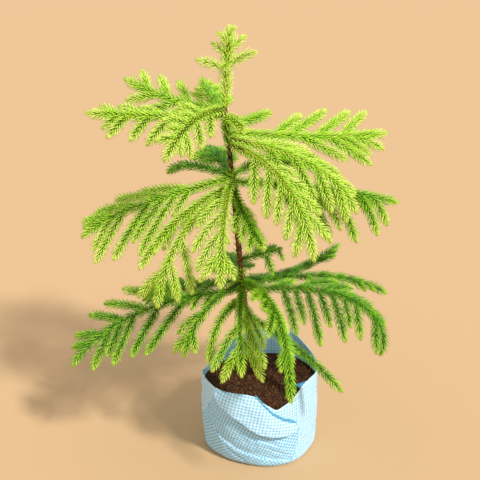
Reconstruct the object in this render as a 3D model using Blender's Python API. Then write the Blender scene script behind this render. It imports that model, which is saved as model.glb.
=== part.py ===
# A young Norfolk Island pine in a folded cloth bag of potting soil.
# Sizes are in millimetres and degrees until a mesh is made, and +Z is up.
# Azimuth 0 points to +X and -90 points to the front. The origin is the middle of the bag's underside.
import bpy
import bmesh
import bisect
import math
import random
from collections import namedtuple
from mathutils import Vector
from mathutils.kdtree import KDTree

MM = 0.001
TAU = 2 * math.pi
UP = Vector((0, 0, 1))
SEED = 11

# Bag: reach of the foot and of the mouth from the middle, and the rim's height, by azimuth
FOOT_REACH = {
    -180: 68, -163: 66, -145: 61, -128: 60, -114: 59, -101: 60, -88: 63, -66: 67, -45: 69, -21: 69, -6: 72, 9: 73,
    45: 69, 90: 66, 135: 66, 180: 68,
}
MOUTH_REACH = {
    -180: 70, -168: 72, -154: 72, -133: 74, -124: 75, -104: 73, -88: 72, -72: 71, -59: 70, -42: 67, -30: 65,
    -15: 67, 0: 74, 9: 76, 22: 77, 42: 79, 63: 79, 79: 76, 109: 72, 129: 68, 150: 67, 167: 70, 180: 70,
}
RIM_HEIGHTS = {
    -180: 102, -168: 107, -154: 105, -133: 103, -104: 104, -94: 102, -73: 81, -59: 88, -42: 98, -30: 100, 9: 99,
    22: 108, 42: 115, 49: 121, 63: 125, 79: 123, 109: 116, 129: 108, 150: 98, 167: 94, 180: 102,
}
BAG_FULL_HEIGHT = 100
BAG_BELLY = 1.5
BAG_WALL = 1.6
BAG_BASE = 2.0
BAG_EDGE = 7
BAG_SIDES = 40
BAG_LEVELS = (0.0, 0.06, 0.22, 0.45, 0.66, 0.84, 1.0)
SOIL_LEVELS = (0.0, 0.06, 0.4, 1.0)
CUFF_THICKNESS = 3.0
CUFF_BEVEL = 3
CUFF_EDGE = {-180: 130, -133: 101, -128: 88, -109: 71, -96: 57, -80: 50, -62: 50, -51: 58, -46: 100, 180: 130}

# Soil
SOIL_GAP = 0.4
SOIL_TOP = 88
SOIL_FRONT_DIP = 12
SOIL_MOUND = 6
SOIL_FLAT = 9
SOIL_RINGS = (0.84, 0.52, 0.13)
SOIL_BUMP = 1.2

# Trunk and leader, which lean to the left as they rise
TRUNK_POINTS = [(0, 94.3), (-9, 137), (-16, 180), (-20, 216), (-24, 259), (-32, 351), (-40, 434)]
LEADER_POINTS = [(-40, 434), (-38, 480), (-34, 526)]
TRUNK_FOOT_RADIUS = 4.0
TRUNK_TIP_RADIUS = 2.3
ROOT_FLARE = 3.2
FLARE_HEIGHT = 9
FLARE_LOBES = 0.16
TRUNK_SIDES = 10
TRUNK_MARKS = [0, 3, 8, 20, 45, 80, 125, 170, 215, 260, 300]

# Limbs and shoots
PIECE_GAP = 0.3
LEAN_ROOM = 0.25
LIMB_ROOT_RADIUS = 2.1
LIMB_END_RADIUS = 1.7
LIMB_COLLAR = 0.7
COLLAR_LENGTH = 5
LIMB_RINGS = 3
LIMB_SIDES = 5
CORE_RADIUS = 1.7
CORE_END_RADIUS = 1.3
NEEDLE_REACH = 8.2
NEEDLE_LEAN = 8.5
NEEDLE_PITCH = 10
NEEDLE_TWIST = 20
SHOOT_END = 2.0
SHORTEST_SHOOT = 20
FIRST_PAIR = 12
PAIR_SHIFT = 0.1
PAIR_STAGGER = 0.45
LAST_PAIR = 0.82
SIDE_TAPER = 0.65
HOLD_FROM = 1.8
LEAST_HANG = 0.15
FIRST_PAIR_SIZE = 0.85
SHOOT_START = 4
DIRECT_START = 12
FAIR_AXIS = 50
CLEAR_STEP = 2.5
ROOT_NEEDLES = 0.4
NEEDLE_RAMP = 16
SHOOT_CLEARANCE = 0.5

# Each bough grows from the trunk at height, along azimuth, and leaves at the angle rise above level.
# Along its length its slope falls by droop, late in its run where late is high, and it turns by bend.
# Side shoots stand in pairs, side long at the root, spread off the bough, on a plate tilted by roll.
# They start lower by hang and sag on their way, less so where they point up and hold themselves.
# Bare is the length of the limb without needles.
Bough = namedtuple("Bough", "name height azimuth rise length droop late bend pairs side spread roll hang sag bare")
BOUGHS = [
    Bough("upper_left", 425, 186, 0, 159, -6, 1.8, -1, 4, 72, 44, 22, 0.10, 0.53, 20),
    Bough("upper_front_left", 431, -122, 10, 136, 53, 1.2, 6, 3, 53, 48, 45, 0.12, 0.26, 18),
    Bough("upper_back_left", 431, 152, 1, 143, -21, 1.4, -2, 3, 64, 38, 44, -0.08, 0.04, 18),
    Bough("upper_back", 427, 106, 6, 118, -8, 1.5, 0, 2, 51, 48, 0, 0.00, 0.20, 0),
    Bough("upper_back_right", 413, 40, 3, 66, -11, 1.6, -9, 1, 28, 35, -40, 0.11, 0.23, 0),
    Bough("upper_front_short", 422, -68, 8, 58, 34, 1.5, 0, 0, 0, 45, 0, 0.00, 0.30, 0),
    Bough("crown_front_right", 391, -49, -2, 196, 74, 1.4, -10, 5, 77, 44, -30, 0.29, 0.48, 20),
    Bough("crown_right_front", 398, -22, -6, 180, 60, 1.9, 9, 4, 91, 38, -19, 0.07, 0.82, 20),
    Bough("crown_right", 405, 14, -8, 213, -7, 1.5, 16, 4, 99, 34, -50, -0.10, 0.11, 22),
    Bough("middle_left", 352, 185, -16, 197, 30, 3.5, -8, 4, 119, 42, 23, 0.13, 0.36, 20),
    Bough("middle_left_front", 344, 211, -18, 156, 34, 1.9, 16, 3, 69, 43, -31, 0.34, 1.02, 20),
    Bough("middle_front_left", 336, -132, -5, 181, 82, 1.1, -10, 4, 95, 49, 14, 0.15, 0.80, 20),
    Bough("middle_front", 350, -99, -7, 162, 70, 1.4, 8, 4, 88, 48, 7, 0.18, 0.93, 20),
    Bough("middle_front_right", 341, -79, -20, 123, -4, 1.4, 13, 3, 51, 39, 12, 0.25, 0.88, 18),
    Bough("middle_right", 347, -6, -2, 197, 12, 1.4, 8, 4, 110, 52, -8, 0.32, 1.10, 22),
    Bough("middle_right_back", 354, 35, 23, 133, 48, 1.0, -3, 3, 63, 44, 2, 0.00, 0.59, 20),
    Bough("middle_back_left", 355, 144, 4, 104, 55, 3.1, 0, 0, 0, 45, 0, 0.00, 0.50, 0),
    Bough("middle_back", 352, 104, 10, 148, 30, 1.5, 0, 3, 55, 48, 0, 0.00, 0.40, 18),
    Bough("lower_left", 212, 196, -2, 239, 58, 1.8, -12, 5, 105, 48, 20, 0.06, 0.22, 22),
    Bough("lower_back_left", 222, 153, -13, 167, 7, 1.1, -1, 3, 72, 45, 10, 0.04, 0.48, 20),
    Bough("lower_front_left", 221, -129, -3, 132, 77, 1.6, -5, 3, 73, 40, -2, 0.05, 0.82, 18),
    Bough("lower_front_twig", 196, -117, 14, 124, 126, 1.7, 0, 0, 0, 45, 0, 0.00, 0.50, 0),
    Bough("lower_front", 212, -96, 1, 140, 70, 1.4, 12, 3, 98, 43, 10, 0.34, 0.80, 18),
    Bough("lower_front_right", 221, -67, 13, 224, 94, 1.8, -16, 3, 63, 37, 38, 0.30, 1.00, 18),
    Bough("lowest_right", 178, -43, -12, 158, 29, 1.8, 8, 2, 30, 48, 17, -0.02, 0.35, 18),
    Bough("lower_right", 212, -21, 9, 223, 129, 2.9, 8, 5, 89, 53, -17, 0.32, 0.85, 22),
    Bough("lower_right_back", 219, 20, 1, 204, 38, 2.0, -5, 3, 45, 43, -3, 0.06, 0.50, 20),
    Bough("lower_back_right", 226, 37, -17, 160, -45, 1.1, -5, 3, 53, 45, 19, 0.09, 0.41, 18),
    Bough("lower_back", 217, 101, 6, 150, 34, 1.5, 0, 3, 60, 48, 0, 0.00, 0.40, 18),
    Bough("lower_twig", 250, -1, 15, 55, -5, 1.8, -5, 1, 60, 58, -15, 0.36, 1.01, 0),
]

# What a bough becomes: its bare limb, the needled axis beyond and the side shoots on that
Crown = namedtuple("Crown", "limb axis shoots")

# Side shoots of the leader: height above the leader's foot, azimuth, rise and length
LEADER_SHOOTS = [
    (42, 178, 28, 38), (46, -8, 36, 40), (52, 82, 30, 34), (44, -96, 24, 28), (58, 150, 42, 26),
    (62, 20, 46, 30), (72, 200, 52, 20),
]
LEADER_BEND = 4

# Colours of the solids
COLOURS = {
    "bag": ((0.56, 0.74, 0.84), 0.9),
    "soil": ((0.09, 0.05, 0.03), 1.0),
    "bark": ((0.20, 0.09, 0.05), 0.9),
    "fresh_needles": ((0.42, 0.60, 0.08), 0.6),
    "old_needles": ((0.14, 0.34, 0.06), 0.6),
}
FRESH_TIERS = ("upper", "crown", "leader")


def clear_scene():
    for old in list(bpy.data.objects):
        bpy.data.objects.remove(old, do_unlink=True)


def material(name):
    colour, roughness = COLOURS[name]
    made = bpy.data.materials.get(name) or bpy.data.materials.new(name)
    made.use_nodes = True
    shader = made.node_tree.nodes["Principled BSDF"]
    shader.inputs["Base Color"].default_value = (*colour, 1)
    shader.inputs["Roughness"].default_value = roughness
    shader.inputs["Metallic"].default_value = 0
    return made


def make_object(name, points, faces, material_name):
    mesh = bpy.data.meshes.new(name)
    mesh.from_pydata([Vector(p) * MM for p in points], [], faces)
    mesh.materials.append(material(material_name))
    made = bpy.data.objects.new(name, mesh)
    bpy.context.scene.collection.objects.link(made)
    return made


def heading(azimuth, pitch):
    turn = math.radians(azimuth)
    tilt = math.radians(pitch)
    return Vector((math.cos(turn) * math.cos(tilt), math.sin(turn) * math.cos(tilt), math.sin(tilt)))


def along_keys(keys, place):
    # Straight lines between a dictionary's values, read at place
    stops = sorted(keys)
    after = min(max(bisect.bisect_right(stops, place), 1), len(stops) - 1)
    left, right = stops[after - 1], stops[after]
    share = min(max((place - left) / (right - left), 0), 1)
    return keys[left] + (keys[right] - keys[left]) * share


class Path:
    # A line through points, read by the length along it, with a side direction that doesn't twist
    def __init__(self, points):
        self.points = [Vector(p) for p in points]
        self.marks = [0.0]
        for a, b in zip(self.points, self.points[1:]):
            self.marks.append(self.marks[-1] + (b - a).length)
        self.length = self.marks[-1]
        self.sides = []
        side = self.direction(0).orthogonal()
        for mark in self.marks:
            ahead = self.direction(mark)
            side = (side - ahead * side.dot(ahead)).normalized()
            self.sides.append(side)

    def span(self, mark):
        after = min(max(bisect.bisect_left(self.marks, mark), 1), len(self.marks) - 1)
        start, end = self.marks[after - 1], self.marks[after]
        return after, (mark - start) / (end - start)

    def at(self, mark):
        after, share = self.span(mark)
        return self.points[after - 1].lerp(self.points[after], share)

    def direction(self, mark):
        reach = self.length * 0.04
        low = max(mark - reach, 0)
        high = min(mark + reach, self.length)
        return (self.at(high) - self.at(low)).normalized()

    def ring(self, mark, radii, turn, lean=0.0):
        # Points round the path, each at its own radius and pushed ahead by its share of lean
        after, share = self.span(mark)
        ahead = self.direction(min(max(mark, 0), self.length))
        side = self.sides[after - 1].lerp(self.sides[after], min(max(share, 0), 1))
        side = (side - ahead * side.dot(ahead)).normalized()
        other = ahead.cross(side)
        centre = self.at(mark)
        reach = max(radii) - min(radii)
        made = []
        for place, radius in enumerate(radii):
            angle = math.radians(turn) + TAU * place / len(radii)
            outward = side * math.cos(angle) + other * math.sin(angle)
            push = lean * (radius - min(radii)) / reach if reach else 0.0
            made.append(centre + outward * radius + ahead * push)
        return made

    def cut(self, start, end, step):
        count = max(2, round((end - start) / step))
        return Path([self.at(start + (end - start) * i / count) for i in range(count + 1)])


def smooth_path(stops, step):
    # A curve through (x, z) stops in the plane of the trunk
    flat = [Vector((x, 0, z)) for x, z in stops]
    flat = [flat[0] * 2 - flat[1]] + flat + [flat[-1] * 2 - flat[-2]]
    points = []
    for a, b, c, d in zip(flat, flat[1:], flat[2:], flat[3:]):
        count = max(2, round((c - b).length / step))
        for i in range(count):
            t = i / count
            bend = (a * 2 - b * 5 + c * 4 - d) * t**2 + (b * 3 - a - c * 3 + d) * t**3
            points.append((b * 2 + (c - a) * t + bend) / 2)
    points.append(flat[-2])
    return Path(points)


TRUNK = smooth_path(TRUNK_POINTS, 12)


def trunk_radius(height):
    above = height - TRUNK_POINTS[0][1]
    share = above / (TRUNK_POINTS[-1][1] - TRUNK_POINTS[0][1])
    flare = ROOT_FLARE * max(0.0, 1 - above / FLARE_HEIGHT) ** 2
    return TRUNK_FOOT_RADIUS + (TRUNK_TIP_RADIUS - TRUNK_FOOT_RADIUS) * share + flare


def trunk_middle(height):
    heights = [p.z for p in TRUNK.points]
    after = min(max(bisect.bisect_left(heights, height), 1), len(heights) - 1)
    low, high = TRUNK.points[after - 1], TRUNK.points[after]
    return low.lerp(high, (height - low.z) / (high.z - low.z))


# Bag


def bag_radius(azimuth, height):
    share = min(max(height / BAG_FULL_HEIGHT, 0), 1)
    foot = along_keys(FOOT_REACH, azimuth)
    radius = foot + (along_keys(MOUTH_REACH, azimuth) - foot) * share**0.8
    edge = max(0.0, 1 - height / BAG_EDGE)
    return radius + BAG_BELLY * math.sin(math.pi * share) - BAG_EDGE * 0.5 * edge**2


def cuff_lift(azimuth, height):
    # The folded-over front stands proud of the wall above its slanting edge
    return CUFF_THICKNESS * min(max((height - along_keys(CUFF_EDGE, azimuth)) / CUFF_BEVEL, 0), 1)


def rim_height(azimuth):
    return along_keys(RIM_HEIGHTS, azimuth)


def round_point(azimuth, radius, height):
    return heading(azimuth, 0) * radius + UP * height


def azimuth_of(point):
    return math.degrees(math.atan2(point.y, point.x))


def strip(low, high, count):
    # Triangles between two rings of count points each
    faces = []
    for i in range(count):
        j = (i + 1) % count
        faces.append((low + i, low + j, high + j))
        faces.append((low + i, high + j, high + i))
    return faces


def fan(ring, tip, count):
    return [(ring + i, ring + (i + 1) % count, tip) for i in range(count)]


def rows_to_object(name, rows, foot, top, material_name):
    # A closed body of rings from the point foot to the point top
    points = [foot]
    faces = []
    count = len(rows[0])
    for number, row in enumerate(rows):
        start = len(points)
        points.extend(row)
        if number == 0:
            faces.extend((0, start + (i + 1) % count, start + i) for i in range(count))
        else:
            faces.extend(strip(start - count, start, count))
    points.append(top)
    faces.extend(fan(len(points) - 1 - count, len(points) - 1, count))
    return make_object(name, points, faces, material_name)


def bag_azimuths():
    return [-180 + 360 * i / BAG_SIDES for i in range(BAG_SIDES)]


def inner_profile(azimuth):
    # The wall's inside at this azimuth: its radius by height, from the base to the rim
    heights = [BAG_BASE + (rim_height(azimuth) - BAG_BASE) * level for level in BAG_LEVELS]
    return {height: bag_radius(azimuth, height) - BAG_WALL for height in heights}


def build_bag():
    outer = []
    for level in BAG_LEVELS:
        row = []
        for azimuth in bag_azimuths():
            height = level * rim_height(azimuth)
            wall = bag_radius(azimuth, height) + cuff_lift(azimuth, height)
            row.append(round_point(azimuth, wall, height))
        outer.append(row)
    profiles = [(azimuth, list(inner_profile(azimuth).items())) for azimuth in bag_azimuths()]
    inner = []
    for number in range(len(BAG_LEVELS)):
        inner.append([round_point(azimuth, *reversed(profile[number])) for azimuth, profile in profiles])
    rows = outer + inner[::-1]
    return rows_to_object("bag", rows, Vector((0, 0, 0)), Vector((0, 0, BAG_BASE)), "bag")


# Soil


def soil_height(azimuth, share):
    # Share is 0 in the middle and 1 at the bag's wall
    front = max(0.0, math.cos(math.radians(azimuth + 73))) ** 3
    mound = SOIL_MOUND * (1 - min(share / 0.9, 1)) ** 1.5
    return SOIL_TOP + mound - SOIL_FRONT_DIP * front * share**2


def build_soil():
    rng = random.Random(SEED)
    rows = []
    bottom = BAG_BASE + SOIL_GAP
    for level in SOIL_LEVELS:
        row = []
        for azimuth in bag_azimuths():
            height = bottom + (soil_height(azimuth, 1) - bottom) * level
            radius = along_keys(inner_profile(azimuth), height) - SOIL_GAP
            row.append(round_point(azimuth, radius, height))
        rows.append(row)
    flat_top = TRUNK_POINTS[0][1] - PIECE_GAP
    for ring in SOIL_RINGS:
        row = []
        for azimuth in bag_azimuths():
            radius = ring * (along_keys(MOUTH_REACH, azimuth) - BAG_WALL - SOIL_GAP)
            height = soil_height(azimuth, ring) + rng.uniform(-SOIL_BUMP, SOIL_BUMP)
            if radius < SOIL_FLAT + 1:
                height = flat_top
            row.append(round_point(azimuth, radius, min(height, flat_top)))
        rows.append(row)
    return rows_to_object("soil", rows, Vector((0, 0, bottom)), Vector((0, 0, flat_top)), "soil")


# Trunk and limbs


def build_trunk():
    # Level rings, close together in the flare, so that the foot is cut flat
    rows = []
    for mark in TRUNK_MARKS + [TRUNK.length]:
        centre = TRUNK.at(mark)
        radius = trunk_radius(centre.z)
        flare = max(0.0, 1 - mark / FLARE_HEIGHT)
        row = []
        for i in range(TRUNK_SIDES):
            azimuth = 360 * i / TRUNK_SIDES
            lobe = 1 + FLARE_LOBES * flare * math.cos(math.radians(3 * azimuth + 40))
            row.append(centre + heading(azimuth, 0) * radius * lobe)
        rows.append(row)
    return rows_to_object("trunk", rows, TRUNK.at(0), TRUNK.at(TRUNK.length), "bark")


def bough_path(bough):
    # The bough's whole run, limb and needled part, from the trunk's axis to its tip
    steps = 24
    at = trunk_middle(bough.height)
    points = [at]
    for i in range(steps):
        share = (i + 0.5) / steps
        pitch = bough.rise - bough.droop * share**bough.late
        at = at + heading(bough.azimuth + bough.bend * share, pitch) * (bough.length / steps)
        points.append(at)
    return Path(points)


def root_mark(bough, radius):
    # How far along its path a limb of this radius comes clear of the trunk
    pitch = math.radians(abs(bough.rise))
    clear = trunk_radius(bough.height) + PIECE_GAP + LEAN_ROOM + radius * math.sin(pitch)
    return clear / math.cos(pitch)


def build_limb(bough, path):
    start = root_mark(bough, LIMB_ROOT_RADIUS + LIMB_COLLAR)
    limb = path.cut(start, path.length, 6)

    def radius_at(mark):
        share = mark / limb.length
        collar = LIMB_COLLAR * max(0.0, 1 - mark / COLLAR_LENGTH) ** 2
        return LIMB_ROOT_RADIUS + (LIMB_END_RADIUS - LIMB_ROOT_RADIUS) * share + collar

    rows = []
    for i in range(LIMB_RINGS + 1):
        mark = limb.length * i / LIMB_RINGS
        rows.append(limb.ring(mark, [radius_at(mark)] * LIMB_SIDES, 0))
    return rows_to_object("limb_" + bough.name, rows, limb.at(0), limb.at(limb.length), "bark")


# Shoots with their needles


def needle_reach(mark):
    # Needles stand closer to the shoot at its root
    return NEEDLE_REACH * min(1, ROOT_NEEDLES + (1 - ROOT_NEEDLES) * mark / NEEDLE_RAMP)


def shoot_mesh(path, core, core_end):
    # A slim four-sided core. From ring to ring, two opposite corners in turn are drawn out and
    # forward into needles, so every needle springs from the core that carries it.
    run = path.length - SHOOT_END
    count = max(3, round(run / NEEDLE_PITCH))
    rows = [path.ring(0, [core] * 4, 0)]
    for i in range(1, count + 1):
        mark = run * i / (count + 0.4)
        share = mark / path.length
        radius = core + (core_end - core) * share
        reach = max(min(needle_reach(mark), radius + (path.length - mark) * 0.9), radius + 1)
        radii = [reach if (corner + i) % 2 == 0 else radius for corner in range(4)]
        lean = min(NEEDLE_LEAN, path.length + 1.5 - mark)
        rows.append(path.ring(mark, radii, NEEDLE_TWIST * i, lean))
    points = [p for row in rows for p in row]
    faces = [(1, 0, 3), (1, 3, 2)]
    for number in range(len(rows) - 1):
        low = 4 * number
        for i in range(4):
            j = (i + 1) % 4
            # The diagonal joins two core corners, so that no web spans between needles
            if number > 0 and (i + number) % 2 == 0:
                faces.append((low + i, low + j, low + 4 + i))
                faces.append((low + j, low + 4 + j, low + 4 + i))
            else:
                faces.append((low + i, low + j, low + 4 + j))
                faces.append((low + i, low + 4 + j, low + 4 + i))
    points.append(path.at(path.length))
    faces.extend(fan(len(points) - 5, len(points) - 1, 4))
    return points, faces


def side_shoot_path(parent, mark, outward, length, sag):
    at = parent.at(mark)
    points = [at]
    steps = 8
    for i in range(steps):
        ahead = (outward - UP * (sag * (i + 0.5) / steps)).normalized()
        at = at + ahead * (length / steps)
        points.append(at)
    return Path(points)


def side_shoots(bough, path, rng):
    # Pairs of side shoots on both sides of the bough, shorter towards its tip
    made = []
    first = bough.bare + FIRST_PAIR
    for pair in range(bough.pairs):
        for place, side in enumerate((-1, 1)):
            step = (pair + PAIR_SHIFT + PAIR_STAGGER * place) / bough.pairs
            mark = first + (LAST_PAIR * bough.length - first) * step
            length = bough.side * (1 - SIDE_TAPER * mark / bough.length) * rng.uniform(0.9, 1.1)
            if pair == 0:
                length *= FIRST_PAIR_SIZE
            spread = math.radians(bough.spread + rng.uniform(-5, 5))
            sag = bough.sag * rng.uniform(0.85, 1.15)
            ahead = path.direction(mark)
            across = ahead.cross(UP).normalized()
            roll = math.radians(bough.roll)
            across = across * math.cos(roll) + across.cross(ahead) * math.sin(roll)
            outward = ahead * math.cos(spread) + across * (side * math.sin(spread))
            weak = max(LEAST_HANG, 1 - HOLD_FROM * max(0, outward.z))
            outward = (outward - UP * (bough.hang * weak)).normalized()
            made.append((mark, side_shoot_path(path, mark, outward, length, sag * weak)))
    return made


class Space:
    # Points along everything that is placed, each with its reach and its owner
    def __init__(self):
        self.spots = []
        self.tree = None

    def add(self, owner, path, reach_at, start=0.0):
        count = max(2, math.ceil((path.length - start) / 3))
        for i in range(count + 1):
            mark = (path.length - start) * i / count
            self.spots.append((path.at(start + mark), reach_at(mark), owner))
        self.tree = KDTree(len(self.spots))
        for number, spot in enumerate(self.spots):
            self.tree.insert(spot[0], number)
        self.tree.balance()

    def free(self, owner, point, reach):
        widest = 2 * NEEDLE_REACH + SHOOT_CLEARANCE
        for _, number, apart in self.tree.find_range(point, widest):
            other_reach, other = self.spots[number][1:]
            if other != owner and apart < reach + other_reach + SHOOT_CLEARANCE:
                return False
        return clear_of_bag(point, reach)


def clear_of_bag(point, reach):
    azimuth = azimuth_of(point)
    from_axis = math.hypot(point.x, point.y)
    wall = bag_radius(azimuth, point.z)
    if from_axis < wall - BAG_WALL - reach - 1:
        return point.z > SOIL_TOP + SOIL_MOUND * (1 - from_axis / wall) + SOIL_BUMP + reach
    if from_axis > wall + CUFF_THICKNESS + reach + 1:
        return point.z > reach
    rim = max(rim_height(azimuth + turn) for turn in (-8, 0, 8) if -180 <= azimuth + turn <= 180)
    return point.z > rim + reach + 1


def free_end(space, owner, path, first):
    # How far needles that start at first run before they meet another piece's space
    mark = first
    while mark < path.length:
        if not space.free(owner, path.at(mark), needle_reach(mark - first)):
            return mark - CLEAR_STEP
        mark += CLEAR_STEP
    return path.length


def free_run(space, owner, path, start):
    # The nearest mark to start from which the needled part has room for a fair length
    first = start
    last = free_end(space, owner, path, first)
    while last - first < FAIR_AXIS and first + FAIR_AXIS < path.length:
        first += CLEAR_STEP
        last = free_end(space, owner, path, first)
    return first, last


def plan_crown():
    # The bough axes take their space first, then the side shoots, which stop short of each other
    rng = random.Random(SEED)
    space = Space()
    space.add("trunk", TRUNK, lambda mark: TRUNK_FOOT_RADIUS + 1)
    leader = smooth_path(LEADER_POINTS, 8)
    space.add("leader", leader, lambda mark: NEEDLE_REACH)
    whole = {bough.name: bough_path(bough) for bough in BOUGHS}
    for bough in BOUGHS:
        space.add(bough.name, whole[bough.name], lambda mark: LIMB_ROOT_RADIUS)
    plan = {}
    for bough in BOUGHS:
        path = whole[bough.name]
        if bough.bare:
            first, last = free_run(space, bough.name, path, bough.bare)
        else:
            first, last = root_mark(bough, CORE_RADIUS), free_end(space, bough.name, path, DIRECT_START)
        axis = path.cut(first, last, 8)
        space.add(bough.name, axis, needle_reach)
        plan[bough.name] = Crown(path.cut(0, first, 6), axis, [])
    shoots = {bough.name: side_shoots(bough, whole[bough.name], rng) for bough in BOUGHS}
    for turn in range(2 * max(bough.pairs for bough in BOUGHS)):
        for bough in BOUGHS:
            if turn < len(shoots[bough.name]):
                add_shoot(space, plan[bough.name], bough.name, *shoots[bough.name][turn])
    return plan, leader


def add_shoot(space, crown, name, mark, path):
    # A side shoot is kept where its root is on the needled part and it has room to grow
    if not crown.limb.length + 4 < mark < crown.limb.length + crown.axis.length - 4:
        return
    last = free_end(space, name, path, SHOOT_START)
    if last < SHORTEST_SHOOT:
        return
    kept = path.cut(0, last, 7)
    space.add(name, kept, needle_reach, SHOOT_START)
    crown.shoots.append(kept)


def join_shoots(name, parts, material_name):
    # One union of the first shoot with all the others makes the mass
    main = make_object(name, *parts[0], material_name)
    if len(parts) > 1:
        group = bpy.data.collections.new(name + "_parts")
        bpy.context.scene.collection.children.link(group)
        for number, part in enumerate(parts[1:]):
            piece = make_object(f"{name}_part_{number}", *part, material_name)
            bpy.context.scene.collection.objects.unlink(piece)
            group.objects.link(piece)
        union = main.modifiers.new("Union", "BOOLEAN")
        union.operation = "UNION"
        union.operand_type = "COLLECTION"
        union.collection = group
        union.solver = "EXACT"
        joined = bpy.data.meshes.new_from_object(main.evaluated_get(bpy.context.evaluated_depsgraph_get()))
        main.modifiers.clear()
        main.data = joined
        for piece in list(group.objects):
            bpy.data.objects.remove(piece, do_unlink=True)
        bpy.data.collections.remove(group)
    keep_largest_shell(main.data)
    return main


def keep_largest_shell(mesh):
    # Fills hollows that the union sealed and drops loose scraps
    work = bmesh.new()
    work.from_mesh(mesh)
    bmesh.ops.triangulate(work, faces=work.faces[:])
    unseen = set(work.faces)
    shells = []
    while unseen:
        shell = {unseen.pop()}
        front = list(shell)
        while front:
            for edge in front.pop().edges:
                for face in edge.link_faces:
                    if face in unseen:
                        unseen.discard(face)
                        shell.add(face)
                        front.append(face)
        shells.append(shell)
    largest = max(shells, key=len)
    spare = [face for shell in shells if shell is not largest for face in shell]
    bmesh.ops.delete(work, geom=spare, context="FACES")
    work.to_mesh(mesh)
    work.free()


def build_mass(bough, crown):
    axis = crown.axis.cut(PIECE_GAP, crown.axis.length, 8)
    parts = [shoot_mesh(axis, CORE_RADIUS, CORE_END_RADIUS)]
    for path in crown.shoots:
        parts.append(shoot_mesh(path, CORE_END_RADIUS, CORE_END_RADIUS * 0.8))
    tier = bough.name.split("_")[0]
    colour = "fresh_needles" if tier in FRESH_TIERS else "old_needles"
    join_shoots("needles_" + bough.name, parts, colour)


def build_leader(leader):
    stem = leader.cut(PIECE_GAP, leader.length, 8)
    parts = [shoot_mesh(stem, CORE_RADIUS, CORE_END_RADIUS)]
    for above, azimuth, rise, length in LEADER_SHOOTS:
        at = leader.at(above)
        points = [at]
        for i in range(6):
            at = at + heading(azimuth, rise - LEADER_BEND * i) * (length / 6)
            points.append(at)
        parts.append(shoot_mesh(Path(points), CORE_END_RADIUS, CORE_END_RADIUS * 0.8))
    join_shoots("needles_leader", parts, "fresh_needles")


def main():
    clear_scene()
    build_bag()
    build_soil()
    build_trunk()
    plan, leader = plan_crown()
    build_leader(leader)
    for bough in BOUGHS:
        if bough.bare:
            build_limb(bough, plan[bough.name].limb)
        build_mass(bough, plan[bough.name])


main()
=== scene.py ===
import bisect
import math
import random
from collections import namedtuple

import bpy
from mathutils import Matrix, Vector, noise
from mathutils.kdtree import KDTree


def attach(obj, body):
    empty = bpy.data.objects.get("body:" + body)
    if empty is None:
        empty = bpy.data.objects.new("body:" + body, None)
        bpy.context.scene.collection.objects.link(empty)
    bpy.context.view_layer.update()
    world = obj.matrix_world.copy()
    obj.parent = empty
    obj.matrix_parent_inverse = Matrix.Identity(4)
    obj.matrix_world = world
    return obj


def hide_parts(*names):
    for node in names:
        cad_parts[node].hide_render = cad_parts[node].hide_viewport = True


# A young Norfolk Island pine in a folded cloth bag.
# The plant and the bag are worked out in millimetres and degrees, and meshes are made in metres.
# Azimuth 0 points to +X and -90 points to the front.
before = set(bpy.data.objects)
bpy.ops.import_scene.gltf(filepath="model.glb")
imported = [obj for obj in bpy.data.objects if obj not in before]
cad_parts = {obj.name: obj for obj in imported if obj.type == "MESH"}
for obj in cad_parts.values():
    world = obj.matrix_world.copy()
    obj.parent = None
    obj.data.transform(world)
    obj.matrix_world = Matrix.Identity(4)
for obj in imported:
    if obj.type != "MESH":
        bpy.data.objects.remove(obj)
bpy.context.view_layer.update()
print("frame loaded with", len(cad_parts), "nodes")

mm = 0.001
tau = 2 * math.pi
up = Vector((0, 0, 1))


# Small helpers

def heading(azimuth, pitch):
    turn = math.radians(azimuth)
    tilt = math.radians(pitch)
    return Vector((math.cos(turn) * math.cos(tilt), math.sin(turn) * math.cos(tilt), math.sin(tilt)))


def limit(value, low=0.0, high=1.0):
    return min(max(value, low), high)


def ease(value):
    # 0 to 1 with soft ends
    value = limit(value)
    return value * value * (3 - 2 * value)


def alongKeys(keys, place):
    # Straight lines between a dictionary's values, read at place
    stops = sorted(keys)
    after = min(max(bisect.bisect_right(stops, place), 1), len(stops) - 1)
    left, right = stops[after - 1], stops[after]
    return keys[left] + (keys[right] - keys[left]) * limit((place - left) / (right - left))


def tone(red, green, blue):
    # A colour as seen on a screen, turned into the linear one that shaders take
    seen = [c / 255 for c in (red, green, blue)]
    return (*(((c + 0.055) / 1.055) ** 2.4 if c > 0.04 else c / 12.92 for c in seen), 1)


class Path:
    # A line through points, read by the length along it
    def __init__(self, points):
        self.points = [Vector(p) for p in points]
        self.marks = [0.0]
        for a, b in zip(self.points, self.points[1:]):
            self.marks.append(self.marks[-1] + (b - a).length)
        self.length = self.marks[-1]

    def span(self, mark):
        after = min(max(bisect.bisect_left(self.marks, mark), 1), len(self.marks) - 1)
        start, end = self.marks[after - 1], self.marks[after]
        return after, (mark - start) / (end - start)

    def at(self, mark):
        after, share = self.span(mark)
        return self.points[after - 1].lerp(self.points[after], share)

    def direction(self, mark):
        reach = self.length * 0.04
        low = max(mark - reach, 0)
        high = min(mark + reach, self.length)
        return (self.at(high) - self.at(low)).normalized()

    def cut(self, start, end, step):
        count = max(2, round((end - start) / step))
        return Path([self.at(start + (end - start) * i / count) for i in range(count + 1)])


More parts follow.
